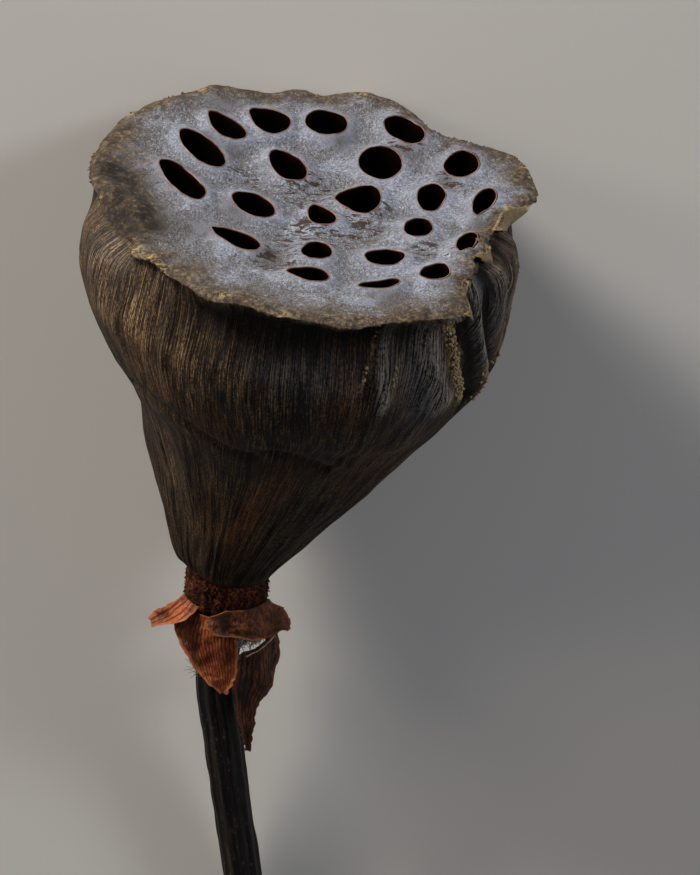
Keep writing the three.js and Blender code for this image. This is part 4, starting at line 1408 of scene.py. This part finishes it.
def pit_material():
    """Lining of the seed pits: smooth dark brown skin, orange-brown where it meets the lip, near black
    deeper in from painted shade.
    """
    material, tree = blank("lotus_pit_lining")
    depth = add(tree, "ShaderNodeMapRange", {
        "Value": shown(tree, "depth"), "From Min": 0.0, "From Max": 2.0,
    }).outputs[0]
    # Darker with depth into the pit: painted shade in the hollows
    colour = add(tree, "ShaderNodeValToRGB", {0: depth}, stops=[
        (0.0, "#84502f"), (0.14, "#3a1b0e"), (0.35, "#120905"), (1.0, "#070403"),
    ]).outputs[0]
    coat(tree, colour, 1.0, 0.0)
    return material


def lip_material():
    """Torn edge of the skin round a pit: thin, dry and reddish."""
    material, tree = blank("lotus_pit_lip")
    colour = add(tree, "ShaderNodeValToRGB", {0: pattern(tree, on_piece(tree), (4, 4, 4), 2, 0.5)}, stops=[
        (0.35, "#683f2b"), (0.5, "#8c6554"), (0.65, "#a3877b"),
    ]).outputs[0]
    coat(tree, colour, 0.6)
    return material


def collar_material():
    """Felt of broken stamen bases: rusty, dusty and quite matt."""
    material, tree = blank("rusty_stamen_felt")
    spots = on_piece(tree)
    felt = pattern(tree, spots, (0.8, 0.8, 0.8), 4, 0.65, 0.5)
    colour = add(tree, "ShaderNodeValToRGB", {0: felt}, stops=[
        (0.34, "#0f0503"), (0.47, "#301208"), (0.58, "#612a12"), (0.72, "#9a5527"),
    ]).outputs[0]
    broad = pattern(tree, spots, (5, 5, 5), 2, 0.5)
    colour = layer(tree, colour, layer(tree, colour, "#1c0c07", most=0.6), (broad, 0.6, 0.4))
    coat(tree, colour, 0.88, 0.2, felt, 0.9, 0.25)
    return material


def tepal_material(name, dark, middle, light):
    """Dried tepal: thin as paper, veined, a little translucent at its torn edges."""
    material, tree = blank(name)
    fleck = pattern(tree, "own", (0.6, 0.6, 2.8), 4, 0.65, 0.5)
    broad = pattern(tree, "own", (4, 4, 6), 3, 0.55)
    flecking = add(tree, "ShaderNodeMapRange", {
        "Value": fleck, "From Min": 0.25, "From Max": 0.75, "To Min": 0.4, "To Max": 1.2,
    }).outputs[0]
    colour = add(tree, "ShaderNodeValToRGB", {0: shown(tree, "vein", flecking)}, stops=[
        (0.15, dark), (0.6, middle), (1.0, light),
    ]).outputs[0]
    colour = layer(tree, colour, dark, (broad, 0.58, 0.34), most=0.6)
    # Painted shade, with a dark stain on the front tepal: darker over the first side across each tepal
    colour = layer(tree, colour, dark, ("across", 0.62, 0.2), (broad, 0.7, 0.3), most=0.85)
    colour = layer(tree, colour, light, ("edge", 0.9, 0.1), most=0.6)
    skin = coat(tree, colour, 0.65, 0.2, fleck, 0.6, 0.12)
    skin.inputs["Subsurface Weight"].default_value = 0.12
    skin.inputs["Subsurface Scale"].default_value = 0.6 * MM
    return material


def stalk_material():
    """Skin of a dried lotus stalk: brown-black, drawn into ridges, with a little pale dust."""
    material, tree = blank("dried_lotus_stalk")
    lines = pattern(tree, "strand", (0.5, 0.5, 14), 3, 0.6, 0.3)
    specks = pattern(tree, "strand", (0.8, 0.8, 1.2), 2, 0.5)
    colour = add(tree, "ShaderNodeValToRGB", {0: lines}, stops=[
        (0.34, "#050303"), (0.48, "#0e0908"), (0.62, "#211713"), (0.76, "#3f3028"),
    ]).outputs[0]
    colour = layer(tree, colour, "#50545c", (specks, 0.6, 0.75), most=0.35)
    colour = layer(tree, colour, "#8a3f1e", (specks, 0.74, 0.78))
    coat(tree, colour, 0.6, 0.25, lines, 0.8, 0.2)
    return material


def pith_material():
    """Cut pith of the stalk: dry, tan and spongy, with cells of about a third of a millimetre."""
    material, tree = blank("dry_stalk_pith")
    cells = add(tree, "ShaderNodeTexVoronoi", {"Vector": on_piece(tree), "Scale": 1 / PITH_CELL})
    coat(tree, layer(tree, "#8d7552", "#4c3924", cells.outputs["Distance"]), 0.85)
    return material


def plain_material(name, shade, rough):
    """A dry matt finish of one colour, for things too small to show a pattern, and for the floor."""
    material, tree = blank(name)
    skin = tree.nodes["Principled BSDF"]
    skin.inputs["Base Color"].default_value = paint(shade)
    skin.inputs["Roughness"].default_value = rough
    skin.inputs["Specular IOR Level"].default_value = 0.2
    return material


# The stage


def add_floor():
    corners = FLOOR_HALF * np.array([[-1, -1, 0], [1, -1, 0], [1, 1, 0], [-1, 1, 0]])
    floor = new_object(new_mesh("floor", corners, [[0, 1, 2, 3]]))
    floor.data.materials.append(plain_material("pale_card", "#d9d6d1", 0.9))


def add_lamp(name, way, distance, size, watts, shade, spread):
    lamp = bpy.data.lights.new(name, "AREA")
    lamp.size = size
    lamp.energy = watts
    lamp.spread = math.radians(spread)
    lamp.color = paint(shade)[:3]
    holder = new_object(lamp)
    target = Vector(lay((0, 0, 60)))
    away = Vector(LAY @ np.array(way)).normalized()
    holder.location = target + away * distance
    holder.rotation_mode = "QUATERNION"
    holder.rotation_quaternion = (-away).to_track_quat("-Z", "Y")


def add_camera():
    ahead = Vector((0, math.cos(LOOK_DOWN), -math.sin(LOOK_DOWN)))
    across = Vector((1, 0, 0))
    up = across.cross(ahead)
    right = math.cos(ROLL) * across + math.sin(ROLL) * up
    down = math.sin(ROLL) * across - math.cos(ROLL) * up
    offset = [(pixel - side / 2) / FOCAL_PIXELS for pixel, side in zip(DISC_PIXEL, PICTURE)]
    swing = Vector((0, 0, 1)).rotation_difference(Vector((*offset, 1))).to_matrix()
    axes = np.array(swing) @ np.array([right, down, ahead])
    place = np.array((0, 0, DISC_HEIGHT)) - DISTANCE * np.array(ahead)
    columns = np.stack([LAY @ axes[0], -(LAY @ axes[1]), -(LAY @ axes[2])], axis=1)
    data = bpy.data.cameras.new("camera")
    data.sensor_width = SENSOR
    data.lens = FOCAL_PIXELS / PICTURE[1] * SENSOR
    camera = new_object(data)
    camera.matrix_world = Matrix.Translation(lay(place)) @ Matrix(columns.tolist()).to_4x4()
    bpy.context.scene.camera = camera


def add_light():
    world = bpy.data.worlds.new("studio")
    world.use_nodes = True
    sky = world.node_tree.nodes["Background"].inputs
    sky["Color"].default_value = paint("#c9d0da")
    sky["Strength"].default_value = SKY
    bpy.context.scene.world = world
    bpy.context.scene.view_settings.view_transform = "Standard"
    for lamp in LAMPS:
        add_lamp(*lamp)


threads, stubs = thread_tree(), stub_tree()
CRUMB = plain_material("corky_crumbs", "#a5906c", 0.8)
rind(stubs, CRUMB)
seed_bed()
rim_crumbs(stubs, plain_material("dark_rim_crumbs", "#5f4b37", 0.85))
rim_flaps()
pit_lips(threads)
stamen_ring(stubs)
COATS = {
    "red": tepal_material("dried_lotus_tepal_red", "#280b05", "#7a3114", "#b56c42"),
    "brown": tepal_material("dried_lotus_tepal_brown", "#1a0a05", "#4c2412", "#84502f"),
    "dark": tepal_material("dried_lotus_tepal_dark", "#0f0603", "#2e150a", "#6b3f26"),
}
for number, leaf in enumerate(TEPALS):
    tepal(leaf, 40 + 10 * number, COATS[leaf["coat"]])
torn_strip(plain_material("torn_tepal_strip", "#a98f7a", 0.7))
mould(threads, plain_material("grey_mould", "#8c8f97", 0.9))
frayed_fibres(threads, *stalk(), plain_material("frayed_stalk_fibre", "#9a8a74", 0.8))
add_floor()
add_light()
add_camera()
